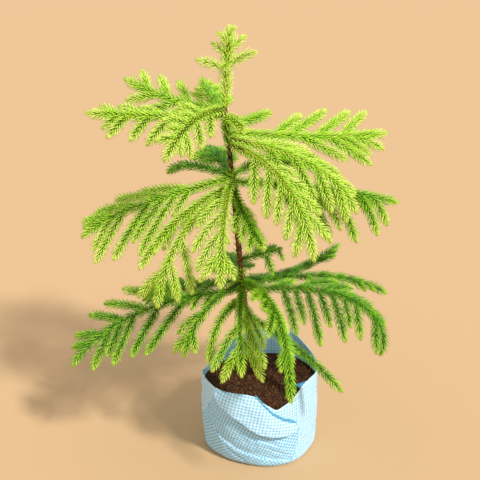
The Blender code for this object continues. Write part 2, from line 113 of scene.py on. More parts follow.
def smoothPath(stops, step):
    # A curve through (x, z) stops in the plane of the trunk
    flat = [Vector((x, 0, z)) for x, z in stops]
    flat = [flat[0] * 2 - flat[1]] + flat + [flat[-1] * 2 - flat[-2]]
    points = []
    for a, b, c, d in zip(flat, flat[1:], flat[2:], flat[3:]):
        count = max(2, round((c - b).length / step))
        for i in range(count):
            t = i / count
            bend = (a * 2 - b * 5 + c * 4 - d) * t**2 + (b * 3 - a - c * 3 + d) * t**3
            points.append((b * 2 + (c - a) * t + bend) / 2)
    points.append(flat[-2])
    return Path(points)


class Shape:
    # Collects rows of points into one mesh, with a material for each face and a flat place for each corner
    def __init__(self):
        self.points = []
        self.faces = []
        self.slots = []
        self.flats = []

    def face(self, corners, slot=0, flat=None):
        self.faces.append(corners)
        self.slots.append(slot)
        self.flats.append(flat or [(0, 0)] * len(corners))

    def skin(self, rows, closed=True, dress=None):
        # Faces between rows of points. dress(row, place) gives a face's slot and its corners' flat places
        count = len(rows[0])
        start = len(self.points)
        for row in rows:
            self.points.extend(row)
        for r in range(len(rows) - 1):
            low, high = start + r * count, start + (r + 1) * count
            for i in range(count if closed else count - 1):
                j = (i + 1) % count
                self.face((low + i, low + j, high + j, high + i), *(dress(r, i) if dress else ()))
        return start

    def cap(self, start, count, centre, slot=0, upward=True):
        # Closes the ring of count points that begins at start with a fan to its centre
        tip = len(self.points)
        self.points.append(centre)
        for i in range(count):
            j = (i + 1) % count
            self.face((start + i, start + j, tip) if upward else (start + j, start + i, tip), slot)

    def toObject(self, name, materials):
        mesh = bpy.data.meshes.new(name)
        mesh.from_pydata([p * mm for p in self.points], [], self.faces, shade_flat=False)
        for item in materials:
            mesh.materials.append(item)
        mesh.polygons.foreach_set("material_index", self.slots)
        layer = mesh.uv_layers.new(name="weave")
        layer.data.foreach_set("uv", [value for flat in self.flats for place in flat for value in place])
        return addObject(name, mesh)


def cornersOf(row, place):
    # The rows and places of a face's corners, in the order of Shape.skin
    return (row, place), (row, place + 1), (row + 1, place + 1), (row + 1, place)


def addObject(name, data):
    made = bpy.data.objects.new(name, data)
    bpy.context.scene.collection.objects.link(made)
    return made


def fillSocket(tree, socket, value):
    # With a plain value, a socket or a node's first output
    if isinstance(value, bpy.types.Node):
        value = value.outputs[0]
    if isinstance(value, bpy.types.NodeSocket):
        tree.links.new(value, socket)
    else:
        socket.default_value = value


def putNode(tree, kind, inputs=None, **settings):
    # Adds a node, sets its settings, then fills its inputs
    node = tree.nodes.new(kind)
    for key, value in settings.items():
        setattr(node, key, value)
    for key, value in (inputs or {}).items():
        fillSocket(tree, node.inputs[key], value)
    return node


def calc(tree, operation, *values):
    return putNode(tree, "ShaderNodeMath", dict(enumerate(values)), operation=operation).outputs[0]


def remap(tree, value, fromRange, toRange, smooth=False):
    ends = dict(zip(("From Min", "From Max", "To Min", "To Max"), (*fromRange, *toRange)))
    kind = "SMOOTHSTEP" if smooth else "LINEAR"
    return putNode(tree, "ShaderNodeMapRange", {"Value": value} | ends, interpolation_type=kind).outputs[0]


def newGroup(name, kind, inputs, outputs):
    # A node group with its sockets. An input is given by its first value, or by its kind where it has none
    tree = bpy.data.node_groups.new(name, kind)
    kinds = {float: "Float", int: "Int", tuple: "Vector"}
    for label, value in inputs.items():
        bare = isinstance(value, str)
        socketType = "NodeSocket" + (value if bare else kinds[type(value)])
        socket = tree.interface.new_socket(name=label, in_out="INPUT", socket_type=socketType)
        if not bare:
            socket.default_value = value
    for label, value in outputs.items():
        tree.interface.new_socket(name=label, in_out="OUTPUT", socket_type="NodeSocket" + value)
    return tree, tree.nodes.new("NodeGroupInput").outputs, tree.nodes.new("NodeGroupOutput").inputs


def keepResult(piece):
    # Puts the mesh that a piece's modifiers make in place of its own
    grown = piece.evaluated_get(bpy.context.evaluated_depsgraph_get())
    mesh = bpy.data.meshes.new_from_object(grown)
    piece.modifiers.clear()
    spare = piece.data
    piece.data = mesh
    bpy.data.meshes.remove(spare)
    mesh.name = piece.name


def finishPiece(piece, slot, *replaced):
    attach(piece, "root")
    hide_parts(*replaced)
    return piece


# Shared surface effects

def makeMottle():
    # A base colour made lighter and darker in soft patches
    inputs = {"Colour": "Color", "Scale": 100.0, "Amount": 0.2}
    outputs = {"Colour": "Color", "Mask": "Float"}
    tree, given, result = newGroup("mottle", "ShaderNodeTree", inputs, outputs)
    place = putNode(tree, "ShaderNodeTexCoord").outputs["Object"]
    look = {"Vector": place, "Scale": given["Scale"], "Detail": 4.0, "Roughness": 0.6}
    patches = putNode(tree, "ShaderNodeTexNoise", look)
    value = calc(tree, "MULTIPLY_ADD", calc(tree, "SUBTRACT", patches, 0.5), given["Amount"], 1.0)
    bright = putNode(tree, "ShaderNodeHueSaturation", {"Value": value, "Color": given["Colour"]})
    fillSocket(tree, result["Colour"], bright)
    fillSocket(tree, result["Mask"], patches)
    return tree


def makeGrain():
    # Height of a fine rough grain
    inputs = {"Scale": 800.0, "Stretch": (1.0, 1.0, 1.0)}
    tree, given, result = newGroup("grain", "ShaderNodeTree", inputs, {"Height": "Float"})
    place = putNode(tree, "ShaderNodeTexCoord").outputs["Object"]
    drawn = putNode(tree, "ShaderNodeVectorMath", {0: place, 1: given["Stretch"]}, operation="MULTIPLY")
    look = {"Vector": drawn, "Scale": given["Scale"], "Detail": 6.0, "Roughness": 0.65}
    fillSocket(tree, result["Height"], putNode(tree, "ShaderNodeTexNoise", look))
    return tree


def makeCheck():
    # Stripes both ways on the weave map, in millimetres, and the height of the threads
    inputs = {"Pitch": 4.0, "Thread": 0.7}
    tree, given, result = newGroup("check", "ShaderNodeTree", inputs, {"Check": "Float", "Height": "Float"})
    weave = putNode(tree, "ShaderNodeUVMap", uv_map="weave")
    places = putNode(tree, "ShaderNodeSeparateXYZ", {"Vector": weave}).outputs

    def waves(width):
        return [calc(tree, "PINGPONG", calc(tree, "DIVIDE", places[axis], width), 1.0) for axis in "XY"]

    stripes = [remap(tree, wave, (0.4, 0.6), (0.0, 0.5), smooth=True) for wave in waves(given["Pitch"])]
    fillSocket(tree, result["Check"], calc(tree, "ADD", *stripes))
    fillSocket(tree, result["Height"], calc(tree, "ADD", *waves(given["Thread"])))
    return tree


mottleGroup = makeMottle()
grainGroup = makeGrain()
checkGroup = makeCheck()


def newMaterial(name, roughness, specular):
    made = bpy.data.materials.new(name)
    made.use_nodes = True
    shader = made.node_tree.nodes["Principled BSDF"]
    shader.inputs["Roughness"].default_value = roughness
    shader.inputs["Specular IOR Level"].default_value = specular
    return made, made.node_tree, shader


def putGroup(tree, group, inputs):
    return putNode(tree, "ShaderNodeGroup", inputs, node_tree=group)


def putRamp(tree, factor, *stops):
    # A colour ramp with its stops as (position, colour)
    node = putNode(tree, "ShaderNodeValToRGB", {"Fac": factor})
    marks = node.color_ramp.elements
    for mark, (position, colour) in zip(marks, (stops[0], stops[-1])):
        mark.position, mark.color = position, colour
    for position, colour in stops[1:-1]:
        marks.new(position).color = colour
    return node


def addBump(tree, shader, height, strength, distance):
    bump = putNode(tree, "ShaderNodeBump", {"Height": height, "Strength": strength, "Distance": distance})
    fillSocket(tree, shader.inputs["Normal"], bump)


def addGrainBump(tree, shader, scale, strength, distance, stretch=(1, 1, 1)):
    grain = putGroup(tree, grainGroup, {"Scale": scale, "Stretch": stretch})
    addBump(tree, shader, grain, strength, distance)


def mottledMaterial(name, colour, scale, amount, roughness, specular, grain=None):
    # One colour in soft patches, with a grain of this scale, strength and distance
    made, tree, shader = newMaterial(name, roughness, specular)
    mottle = putGroup(tree, mottleGroup, {"Colour": colour, "Scale": scale, "Amount": amount})
    fillSocket(tree, shader.inputs["Base Color"], mottle)
    if grain:
        addGrainBump(tree, shader, *grain)
    return made


def fleckedMaterial(name, scale, dark, light, roughness, specular, grain):
    # Two colours in flecks, each given with its place on the ramp
    made, tree, shader = newMaterial(name, roughness, specular)
    mask = putGroup(tree, mottleGroup, {"Scale": scale}).outputs["Mask"]
    fillSocket(tree, shader.inputs["Base Color"], putRamp(tree, mask, dark, light))
    addGrainBump(tree, shader, *grain)
    return made


# Needle and twig finishes, from the shaded old growth to the palest new tips
needleTones = {
    "needleDeep": tone(32, 82, 12),
    "needleDark": tone(56, 118, 16),
    "needleLeaf": tone(94, 164, 24),
    "needleSpring": tone(142, 206, 36),
    "needleLime": tone(188, 234, 54),
    "needlePale": tone(222, 248, 104),
}
twigTones = {
    "twigBark": tone(98, 54, 28),
    "twigGreen": tone(112, 140, 40),
    "twigGold": tone(216, 200, 60),
}
barkSlot, greenSlot, goldSlot = range(3)
twigGrain = (1400.0, 0.5, 0.0003)
needleMaterials = [mottledMaterial(name, seen, 160.0, 0.35, 0.46, 0.4) for name, seen in needleTones.items()]
twigMaterials = [
    mottledMaterial(name, seen, 240.0, 0.5, 0.7, 0.3, twigGrain) for name, seen in twigTones.items()
]


# Trunk and boughs by the source's rule
trunkLook = {
    "stops": [(0, 94.3), (-9, 137), (-16, 180), (-20, 216), (-24, 259), (-32, 351), (-40, 434)],
    "leader": [(-40, 434), (-38, 480), (-34, 526)],
    "footRadius": 4.0,
    "tipRadius": 2.3,
    "flare": 3.2,
    "flareHeight": 9,
    "flareLobes": (0.16, 0.7),  # height and turn of the root flare's lobes
    "sides": 28,
    "step": 1.1,
    "relief": 0.34,  # depth of the bark's plates and furrows
    "plates": (0.9, 0.32),  # their fineness round the stem and along it
    "cracks": (2.2, 1.1),
    "scars": 0.32,  # height of the old needle scars
    "scarRows": (5, 0.9, 1.55),  # how many stand round the stem, their twist and their rows
    "sunk": 3,  # how deep the foot stands in the soil
    "needlePitch": 1.1,
    # The stem's needles have a low tint, partly painted shade for the shade inside the crown round the stem
    "needles": {"start": 60, "rootSize": 0.6, "ramp": 30, "size": 0.85, "tint": 0.5},
    "whorls": [(196, 246), (318, 372), (386, 434)],  # thick with needles between these heights
    "whorlRows": 4,
    "whorlStep": 6,
    "whorlNeedles": {"start": 0, "rootSize": 0.7, "ramp": 10, "size": 1.05, "tint": 1.9},
}
boughLook = {
    "seed": 11,
    "gap": 0.3,
    "leanRoom": 0.25,
    "limbRadius": 2.1,
    "coreRadius": 1.7,
    "reach": 8.2,  # needles round their shoot
    "shortest": 20,
    "firstPair": 12,
    "lastPair": 0.82,
    "sideTaper": 0.65,
    "holdFrom": 1.8,  # a shoot that points up holds itself, and hangs and sags less
    "leastHang": 0.15,
    "firstPairSize": 0.85,
    "shift": 0.1,  # where the first pair stands, as a share of the step between pairs
    "stagger": 0.45,  # the second shoot of a pair stands this share of a step further out
    "lengths": (0.9, 1.1),  # how far single shoots differ in length, spread and sag
    "spreads": (-5, 5),
    "sags": (0.85, 1.15),
    "shootStart": 4,
    "directStart": 12,
    "fairAxis": 50,
    "clearStep": 2.5,
    "rootNeedles": 0.4,
    "ramp": 16,
    "clearance": 0.5,
    "spotStep": 3,  # from one point kept clear to the next along a shoot
    "endRoom": 4,  # no side shoot this near an end of the needled part
    "massStep": 8,  # from point to point of a bough's needled run, and of a shoot
    "shootStep": 3,
    "fineShift": 0.6,
    "fineShare": 0.78,  # length of the finer shoots beside that of the main ones
    "fineShortest": 12,
    "fineRoom": 10,  # a finer shoot stands this far off its neighbours
    "fineSeed": 23,
}

# Each bough grows from the trunk at height, along azimuth, and leaves at the angle rise above level.
# Along its length its slope falls by droop, late in its run where late is high, and it turns by bend.
# Side shoots stand in pairs, side long at the root, spread off the bough, on a plate tilted by roll.
# They start lower by hang and sag on their way, less so where they point up and hold themselves.
# Bare is the length of the source's limb, and fresh its shade, from 0 for the deepest green to 5 for
# the palest lime: partly the age of its growth and partly painted light and shade, darker for boughs low down
# and at the back where shade falls, paler for those high up and at the front.
Bough = namedtuple(
    "Bough", "name height azimuth rise length droop late bend pairs side spread roll hang sag bare fresh",
)
boughs = [
    Bough("upper_left", 425, 186, 0, 159, -6, 1.8, -1, 4, 72, 44, 22, 0.10, 0.53, 20, 3.3),
    Bough("upper_front_left", 431, -122, 10, 136, 53, 1.2, 6, 3, 53, 48, 45, 0.12, 0.26, 18, 4.0),
    Bough("upper_back_left", 431, 152, 1, 143, -21, 1.4, -2, 3, 64, 38, 44, -0.08, 0.04, 18, 3.1),
    Bough("upper_back", 427, 106, 6, 118, -8, 1.5, 0, 2, 51, 48, 0, 0.00, 0.20, 0, 2.4),
    Bough("upper_back_right", 413, 40, 3, 66, -11, 1.6, -9, 1, 28, 35, -40, 0.11, 0.23, 0, 2.4),
    Bough("upper_front_short", 422, -68, 8, 58, 34, 1.5, 0, 0, 0, 45, 0, 0.00, 0.30, 0, 3.6),
    Bough("crown_front_right", 391, -49, -2, 196, 74, 1.4, -10, 5, 77, 44, -30, 0.29, 0.48, 20, 3.9),
    Bough("crown_right_front", 398, -22, -6, 180, 60, 1.9, 9, 4, 91, 38, -19, 0.07, 0.82, 20, 3.7),
    Bough("crown_right", 405, 14, -8, 213, -7, 1.5, 16, 4, 99, 34, -50, -0.10, 0.11, 22, 3.1),
    Bough("middle_left", 352, 185, -16, 197, 30, 3.5, -8, 4, 119, 42, 23, 0.13, 0.36, 20, 2.9),
    Bough("middle_left_front", 344, 211, -18, 156, 34, 1.9, 16, 3, 69, 43, -31, 0.34, 1.02, 20, 3.3),
    Bough("middle_front_left", 336, -132, -5, 181, 82, 1.1, -10, 4, 95, 49, 14, 0.15, 0.80, 20, 3.7),
    Bough("middle_front", 350, -99, -7, 162, 70, 1.4, 8, 4, 88, 48, 7, 0.18, 0.93, 20, 3.8),
    Bough("middle_front_right", 341, -79, -20, 123, -4, 1.4, 13, 3, 51, 39, 12, 0.25, 0.88, 18, 2.8),
    Bough("middle_right", 347, -6, -2, 197, 12, 1.4, 8, 4, 110, 52, -8, 0.32, 1.10, 22, 2.2),
    Bough("middle_right_back", 354, 35, 23, 133, 48, 1.0, -3, 3, 63, 44, 2, 0.00, 0.59, 20, 1.8),
    Bough("middle_back_left", 355, 144, 4, 104, 55, 3.1, 0, 0, 0, 45, 0, 0.00, 0.50, 0, 1.4),
    Bough("middle_back", 352, 104, 10, 148, 30, 1.5, 0, 3, 55, 48, 0, 0.00, 0.40, 18, 1.2),
    Bough("lower_left", 212, 196, -2, 239, 58, 1.8, -12, 5, 105, 48, 20, 0.06, 0.22, 22, 1.8),
    Bough("lower_back_left", 222, 153, -13, 167, 7, 1.1, -1, 3, 72, 45, 10, 0.04, 0.48, 20, 1.4),
    Bough("lower_front_left", 221, -129, -3, 132, 77, 1.6, -5, 3, 73, 40, -2, 0.05, 0.82, 18, 2.2),
    Bough("lower_front_twig", 196, -117, 14, 124, 126, 1.7, 0, 0, 0, 45, 0, 0.00, 0.50, 0, 2.8),
    Bough("lower_front", 212, -96, 1, 140, 70, 1.4, 12, 3, 98, 43, 10, 0.34, 0.80, 18, 2.8),
    Bough("lower_front_right", 221, -67, 13, 224, 94, 1.8, -16, 3, 63, 37, 38, 0.30, 1.00, 18, 2.3),
    Bough("lowest_right", 178, -43, -12, 158, 29, 1.8, 8, 2, 30, 48, 17, -0.02, 0.35, 18, 1.8),
    Bough("lower_right", 212, -21, 9, 223, 129, 2.9, 8, 5, 89, 53, -17, 0.32, 0.85, 22, 1.4),
    Bough("lower_right_back", 219, 20, 1, 204, 38, 2.0, -5, 3, 45, 43, -3, 0.06, 0.50, 20, 1.3),
    Bough("lower_back_right", 226, 37, -17, 160, -45, 1.1, -5, 3, 53, 45, 19, 0.09, 0.41, 18, 1.0),
    Bough("lower_back", 217, 101, 6, 150, 34, 1.5, 0, 3, 60, 48, 0, 0.00, 0.40, 18, 1.2),
    Bough("lower_twig", 250, -1, 15, 55, -5, 1.8, -5, 1, 60, 58, -15, 0.36, 1.01, 0, 1.2),
]

trunkPath = smoothPath(trunkLook["stops"], 12)
leaderPath = smoothPath(trunkLook["leader"], 8)


def trunkRadius(height):
    foot, top = trunkLook["stops"][0][1], trunkLook["stops"][-1][1]
    above = height - foot
    flare = trunkLook["flare"] * max(0.0, 1 - above / trunkLook["flareHeight"]) ** 2
    narrowing = (trunkLook["tipRadius"] - trunkLook["footRadius"]) * above / (top - foot)
    return trunkLook["footRadius"] + narrowing + flare


def trunkMiddle(height):
    heights = [p.z for p in trunkPath.points]
    after = min(max(bisect.bisect_left(heights, height), 1), len(heights) - 1)
    low, high = trunkPath.points[after - 1], trunkPath.points[after]
    return low.lerp(high, (height - low.z) / (high.z - low.z))


def boughPath(bough):
    # The bough's whole run from the trunk's axis to its tip
    steps = 24
    at = trunkMiddle(bough.height)
    points = [at]
    for i in range(steps):
        share = (i + 0.5) / steps
        pitch = bough.rise - bough.droop * share**bough.late
        at = at + heading(bough.azimuth + bough.bend * share, pitch) * (bough.length / steps)
        points.append(at)
    return Path(points)


def rootMark(bough, radius):
    # How far along its path a limb of this radius comes clear of the trunk
    pitch = math.radians(abs(bough.rise))
    clear = trunkRadius(bough.height) + boughLook["gap"] + boughLook["leanRoom"] + radius * math.sin(pitch)
    return clear / math.cos(pitch)


def needleReach(mark):
    root = boughLook["rootNeedles"]
    return boughLook["reach"] * min(1, root + (1 - root) * mark / boughLook["ramp"])


def sideShootPath(parent, mark, outward, length, sag):
    at = parent.at(mark)
    points = [at]
    steps = 8
    for i in range(steps):
        ahead = (outward - up * (sag * (i + 0.5) / steps)).normalized()
        at = at + ahead * (length / steps)
        points.append(at)
    return Path(points)


def sideShoots(bough, path, rng, shift=boughLook["shift"], size=1.0):
    # Pairs of side shoots on both sides of the bough, shorter towards its tip
    look = boughLook
    made = []
    first = bough.bare + look["firstPair"]
    for pair in range(bough.pairs):
        for place, side in enumerate((-1, 1)):
            step = (pair + shift + look["stagger"] * place) / bough.pairs
            mark = first + (look["lastPair"] * bough.length - first) * step
            length = bough.side * (1 - look["sideTaper"] * mark / bough.length)
            length *= rng.uniform(*look["lengths"])
            if pair == 0:
                length *= look["firstPairSize"]
            spread = math.radians(bough.spread + rng.uniform(*look["spreads"]))
            sag = bough.sag * rng.uniform(*look["sags"])
            ahead = path.direction(mark)
            across = ahead.cross(up).normalized()
            roll = math.radians(bough.roll)
            across = across * math.cos(roll) + across.cross(ahead) * math.sin(roll)
            outward = ahead * math.cos(spread) + across * (side * math.sin(spread))
            weak = max(look["leastHang"], 1 - look["holdFrom"] * max(0, outward.z))
            outward = (outward - up * (bough.hang * weak)).normalized()
            made.append((mark, sideShootPath(path, mark, outward, length * size, sag * weak)))
    return made


class Space:
    # Points along everything that is placed, each with its reach and its owner
    def __init__(self):
        self.spots = []
        self.tree = None

    def add(self, owner, path, reachAt, start=0.0):
        count = max(2, math.ceil((path.length - start) / boughLook["spotStep"]))
        for i in range(count + 1):
            mark = (path.length - start) * i / count
            self.spots.append((path.at(start + mark), reachAt(mark), owner))
        self.tree = KDTree(len(self.spots))
        for number, spot in enumerate(self.spots):
            self.tree.insert(spot[0], number)
        self.tree.balance()

    def free(self, owner, point, reach):
        widest = 2 * boughLook["reach"] + boughLook["clearance"]
        for _, number, apart in self.tree.find_range(point, widest):
            otherReach, other = self.spots[number][1:]
            if other != owner and apart < reach + otherReach + boughLook["clearance"]:
                return False
        return clearOfBag(point, reach)


def freeEnd(space, owner, path, first):
    # How far needles that start at first run before they meet another piece's space
    mark = first
    while mark < path.length:
        if not space.free(owner, path.at(mark), needleReach(mark - first)):
            return mark - boughLook["clearStep"]
        mark += boughLook["clearStep"]
    return path.length


def freeRun(space, owner, path, start):
    # The nearest mark to start from which the needled part has room for a fair length
    fair = boughLook["fairAxis"]
    first = start
    last = freeEnd(space, owner, path, first)
    while last - first < fair and first + fair < path.length:
        first += boughLook["clearStep"]
        last = freeEnd(space, owner, path, first)
    return first, last


# Bag and soil, in the source's sizes
bagLook = {
    "foot": {  # reach from the middle by azimuth, on the floor and at the mouth
        -180: 68, -163: 66, -145: 61, -128: 60, -114: 59, -101: 60, -88: 63, -66: 67, -45: 69, -21: 69,
        -6: 72, 9: 73, 45: 69, 90: 66, 135: 66, 180: 68,
    },
    "mouth": {
        -180: 70, -168: 72, -154: 72, -133: 74, -124: 75, -104: 73, -88: 72, -72: 71, -59: 70, -42: 67,
        -30: 65, -15: 67, 0: 74, 9: 76, 22: 77, 42: 79, 63: 79, 79: 76, 109: 72, 129: 68, 150: 67,
        167: 70, 180: 70,
    },
    "rim": {
        -180: 102, -168: 107, -154: 105, -133: 103, -104: 104, -94: 102, -73: 81, -59: 88, -42: 98,
        -30: 100, 9: 99, 22: 108, 42: 115, 49: 121, 63: 125, 79: 123, 109: 116, 129: 108, 150: 98,
        167: 94, 180: 102,
    },
    "fullHeight": 100,
    "opening": 0.8,  # how early on its way up the wall takes the mouth's reach
    "belly": 1.5,
    "wall": 1.6,
    "base": 2.0,
    "edge": 7,
    "cuff": 3.0,
    "clearance": 1,
    "rimRoom": 8,  # the rim's highest place this far to both sides counts
    "waver": (0.3, 9),  # height of the rim's waver, and how many there are round it
    "columns": 320,
    "rows": 76,
    "innerRows": 34,
    "rimSteps": 5,
    "seamAt": 90,  # the azimuth where the check's two ends meet
    "clothRadius": 70,  # the cloth's places are counted on a tube of this radius
    "calmFoot": 10,  # the wall is smooth at the floor and has all its relief this far up
    "crumples": [  # depth, fineness round the bag and up it, and the noise's own depth
        (1.1, 0.045, 0.05, 3.0), (0.6, 0.16, 0.2, 9.0), (0.3, 0.42, 0.46, 5.0),
    ],
    "checkPitch": 1.95,
    "threadPitch": 0.36,
}
soilLook = {
    "top": 88,
    "mound": 6,
    "moundReach": 0.9,
    "moundFall": 1.5,
    "bump": 1.2,
    "rough": [(1.8, 0.11), (1.7, 0.3), (0.8, 0.8)],  # depth and fineness of its lumps
    "frontDip": 12,
    "dipAt": -73,
    "rings": 46,
    "columns": 160,
    "embed": 0.8,  # how far the soil presses into the cloth
    "edgeRings": 3,  # no crumbs lie on these outer rings
    "skirt": 0.93,  # its underside draws in by this, clear of the bag's folds
    "skirtDrop": 6,
    "depth": 20,
    "middle": 0.6,  # the innermost ring stands this share of a step from the middle
    "edgeRough": (6, 0.35),  # how fast its lumps grow from the wall, and what they have at it
    "crumbSlope": 0.3,  # crumbs lie where the ground's normal points up at least this much
    "lumps": 1900,
    "lumpSize": 2.1,
    "lumpSizes": (0.5, 1.9),  # the least share of that size, and the most that is added to it
    "seed": 5,
}


def bagRadius(azimuth, height, reachAt=None):
    reachAt = reachAt or (lambda keys: alongKeys(keys, turned(azimuth)))
    share = limit(height / bagLook["fullHeight"])
    foot = reachAt(bagLook["foot"])
    radius = foot + (reachAt(bagLook["mouth"]) - foot) * share ** bagLook["opening"]
    edge = max(0.0, 1 - height / bagLook["edge"])
    return radius + bagLook["belly"] * math.sin(math.pi * share) - bagLook["edge"] * 0.5 * edge**2


def turned(azimuth):
    # The same azimuth between -180 and 180
    return (azimuth + 180) % 360 - 180


def rimHeight(azimuth):
    return alongKeys(bagLook["rim"], turned(azimuth))


def clearOfBag(point, reach):
    azimuth = math.degrees(math.atan2(point.y, point.x))
    fromAxis = math.hypot(point.x, point.y)
    wall = bagRadius(azimuth, point.z)
    apart = reach + bagLook["clearance"]
    if fromAxis < wall - bagLook["wall"] - apart:
        ground = soilLook["top"] + soilLook["mound"] * (1 - fromAxis / wall) + soilLook["bump"]
        return point.z > ground + reach
    if fromAxis > wall + bagLook["cuff"] + apart:
        return point.z > reach
    room = bagLook["rimRoom"]
    rim = max(rimHeight(azimuth + turn) for turn in (-room, 0, room) if -180 <= azimuth + turn <= 180)
    return point.z > rim + apart


def planCrown():
    # The boughs take their space first, then the side shoots, and last the finer shoots between them
    rng = random.Random(boughLook["seed"])
    space = Space()
    space.add("trunk", trunkPath, lambda mark: trunkLook["footRadius"] + 1)
    space.add("leader", leaderPath, lambda mark: boughLook["reach"])
    whole = {bough.name: boughPath(bough) for bough in boughs}
    for bough in boughs:
        space.add(bough.name, whole[bough.name], lambda mark: boughLook["limbRadius"])
    runs = {}
    for bough in boughs:
        path = whole[bough.name]
        if bough.bare:
            first, last = freeRun(space, bough.name, path, bough.bare)
        else:
            first = rootMark(bough, boughLook["coreRadius"])
            last = freeEnd(space, bough.name, path, boughLook["directStart"])
        space.add(bough.name, path.cut(first, last, boughLook["massStep"]), needleReach)
        runs[bough.name] = (first, last)
    plan = {bough.name: [] for bough in boughs}
    fineRng = random.Random(boughLook["fineSeed"])
    main = {b.name: sideShoots(b, whole[b.name], rng) for b in boughs}
    finer = (boughLook["fineShift"], boughLook["fineShare"])
    fine = {b.name: sideShoots(b, whole[b.name], fineRng, *finer) for b in boughs}
    for shoots, shortest in ((main, boughLook["shortest"]), (fine, boughLook["fineShortest"])):
        for turn in range(2 * max(bough.pairs for bough in boughs)):
            for bough in boughs:
                if turn < len(shoots[bough.name]):
                    mark, path = shoots[bough.name][turn]
                    first, last = runs[bough.name]
                    inside = first + boughLook["endRoom"] < mark < last - boughLook["endRoom"]
                    if inside and not (shoots is fine and crowds(path, plan[bough.name])):
                        addShoot(space, plan[bough.name], bough.name, path, shortest)
    for bough in boughs:
        first, last = runs[bough.name]
        plan[bough.name].insert(0, whole[bough.name].cut(0, last, boughLook["shootStep"]))
    return plan


def crowds(path, others):
    # Whether the outer half of a shoot runs too near one that is there already
    room = boughLook["fineRoom"]
    spots = [path.at(path.length * share) for share in (0.5, 0.75, 1.0)]
    return any((spot - point).length < room for spot in spots for other in others for point in other.points)


def addShoot(space, shoots, name, path, shortest):
    last = freeEnd(space, name, path, boughLook["shootStart"])
    if last < shortest:
        return
    kept = path.cut(0, last, boughLook["shootStep"])
    space.add(name, kept, needleReach, boughLook["shootStart"])
    shoots.append(kept)


crownPlan = planCrown()
shootCount = sum(len(shoots) for shoots in crownPlan.values())
shootRun = sum(path.length for shoots in crownPlan.values() for path in shoots)
print("crown planned:", shootCount, "shoots,", round(shootRun), "mm of them")


# Twigs

twigLook = {
    "axisEnd": 0.6,  # radius at a bough's tip
    "sideRoot": 0.8,
    "sideEnd": 0.4,
    "sides": 7,
    "step": 2.0,
    "narrowing": 0.45,  # how early a bough's stem is thin
    "cushions": (0.14, 1.9),  # height and twist of the needles' feet
    "grain": (0.2, 0.7),
    "barkLength": 26,  # how far out a limb is brown
    "goldFrom": 3.3,  # boughs this fresh have golden stems
}


def sweep(shape, path, radiusAt, sides, step, slotAt, reliefAt, shortBy=0.0):
    # A closed tube along path whose radius and relief change along it
    reach = path.length - shortBy
    count = max(3, round(reach / step))
    side = path.direction(0).orthogonal()
    rows = []
    marks = [reach * i / count for i in range(count + 1)]
    for mark in marks:
        ahead = path.direction(mark)
        side = (side - ahead * side.dot(ahead)).normalized()
        other = ahead.cross(side)
        centre = path.at(mark)
        row = []
        for i in range(sides):
            angle = tau * i / sides
            outward = side * math.cos(angle) + other * math.sin(angle)
            radius = radiusAt(mark)
            radius += reliefAt(mark, angle, centre + outward * radius)
            row.append(centre + outward * radius)
        rows.append(row)
    start = shape.skin(rows, dress=lambda r, i: (slotAt(marks[r]),))
    shape.cap(start, sides, path.at(0), slotAt(0), upward=False)
    shape.cap(start + count * sides, sides, path.at(reach), slotAt(reach))


def buildTwigs(name, shoots, fresh, replaced, barkLength=twigLook["barkLength"]):
    shape = Shape()
    fine = goldSlot if fresh >= twigLook["goldFrom"] else greenSlot
    axis = shoots[0]
    thick, thin = boughLook["limbRadius"], twigLook["axisEnd"]

    def axisRadius(mark):
        return thick + (thin - thick) * (mark / axis.length) ** twigLook["narrowing"]

    def axisSlot(mark):
        return barkSlot if mark < barkLength else fine

    def relief(mark, angle, spot):
        height, twist = twigLook["cushions"]
        depth, fineness = twigLook["grain"]
        return height * math.cos(3 * angle + mark * twist) + depth * noise.noise(spot * fineness)

    short = needleLook["pastEnd"]
    sweep(shape, axis, axisRadius, twigLook["sides"] + 2, twigLook["step"], axisSlot, relief, short)
    for path in shoots[1:]:
        root, end = twigLook["sideRoot"], twigLook["sideEnd"]
        sweep(
            shape, path, lambda mark: root + (end - root) * mark / path.length, twigLook["sides"],
            twigLook["step"], lambda mark: fine, relief, short,
        )
    piece = shape.toObject("twigs_" + name, twigMaterials)
    return finishPiece(piece, "bark", *replaced)


# Needles

needleLook = {
    "length": 11.5,
    "width": 1.45,
    "thickness": 1.0,
    "curl": 44,  # how far a needle bends forward along its length
    "outerFrom": 0.4,  # a needle is painted paler past this share of its length, painted light on its tip, and painted darker before it, painted shade at its base
    # Steps of painted light on a needle's outer part and of painted shade on its inner part
    "paintedTipLight": 1.1,
    "paintedBaseShade": -1.4,
    "pastEnd": 6.0,  # how far the last needles reach past their twig
    "lineStep": 2,
    "sideRun": {"start": 1.5, "rootSize": 0.7, "ramp": 8},
    "stemTint": -0.3,
    "tints": (-0.4, 0.4),
    "seed": 7,
}
# The needle tree's own values. Pitch runs along the shoot from one needle to the next. The tip is closed,
# its needles stand closest, and within these runs from it they lean in, grow shorter and turn fresher
needleLengths = {
    "Pitch": 0.34, "Tip Pitch": 0.3, "Tip Run": 3.0, "Lean Run": 10, "Shrink Run": 8.0, "Pale Run": 24,
}
needleAngles = {"Turn": 137.508, "Lean": 46, "Tip Lean": 13, "Jitter": 5}
needleNumbers = {"Tip Shrink": 0.55, "Pale Step": 1.2, "Dither": 0.7}


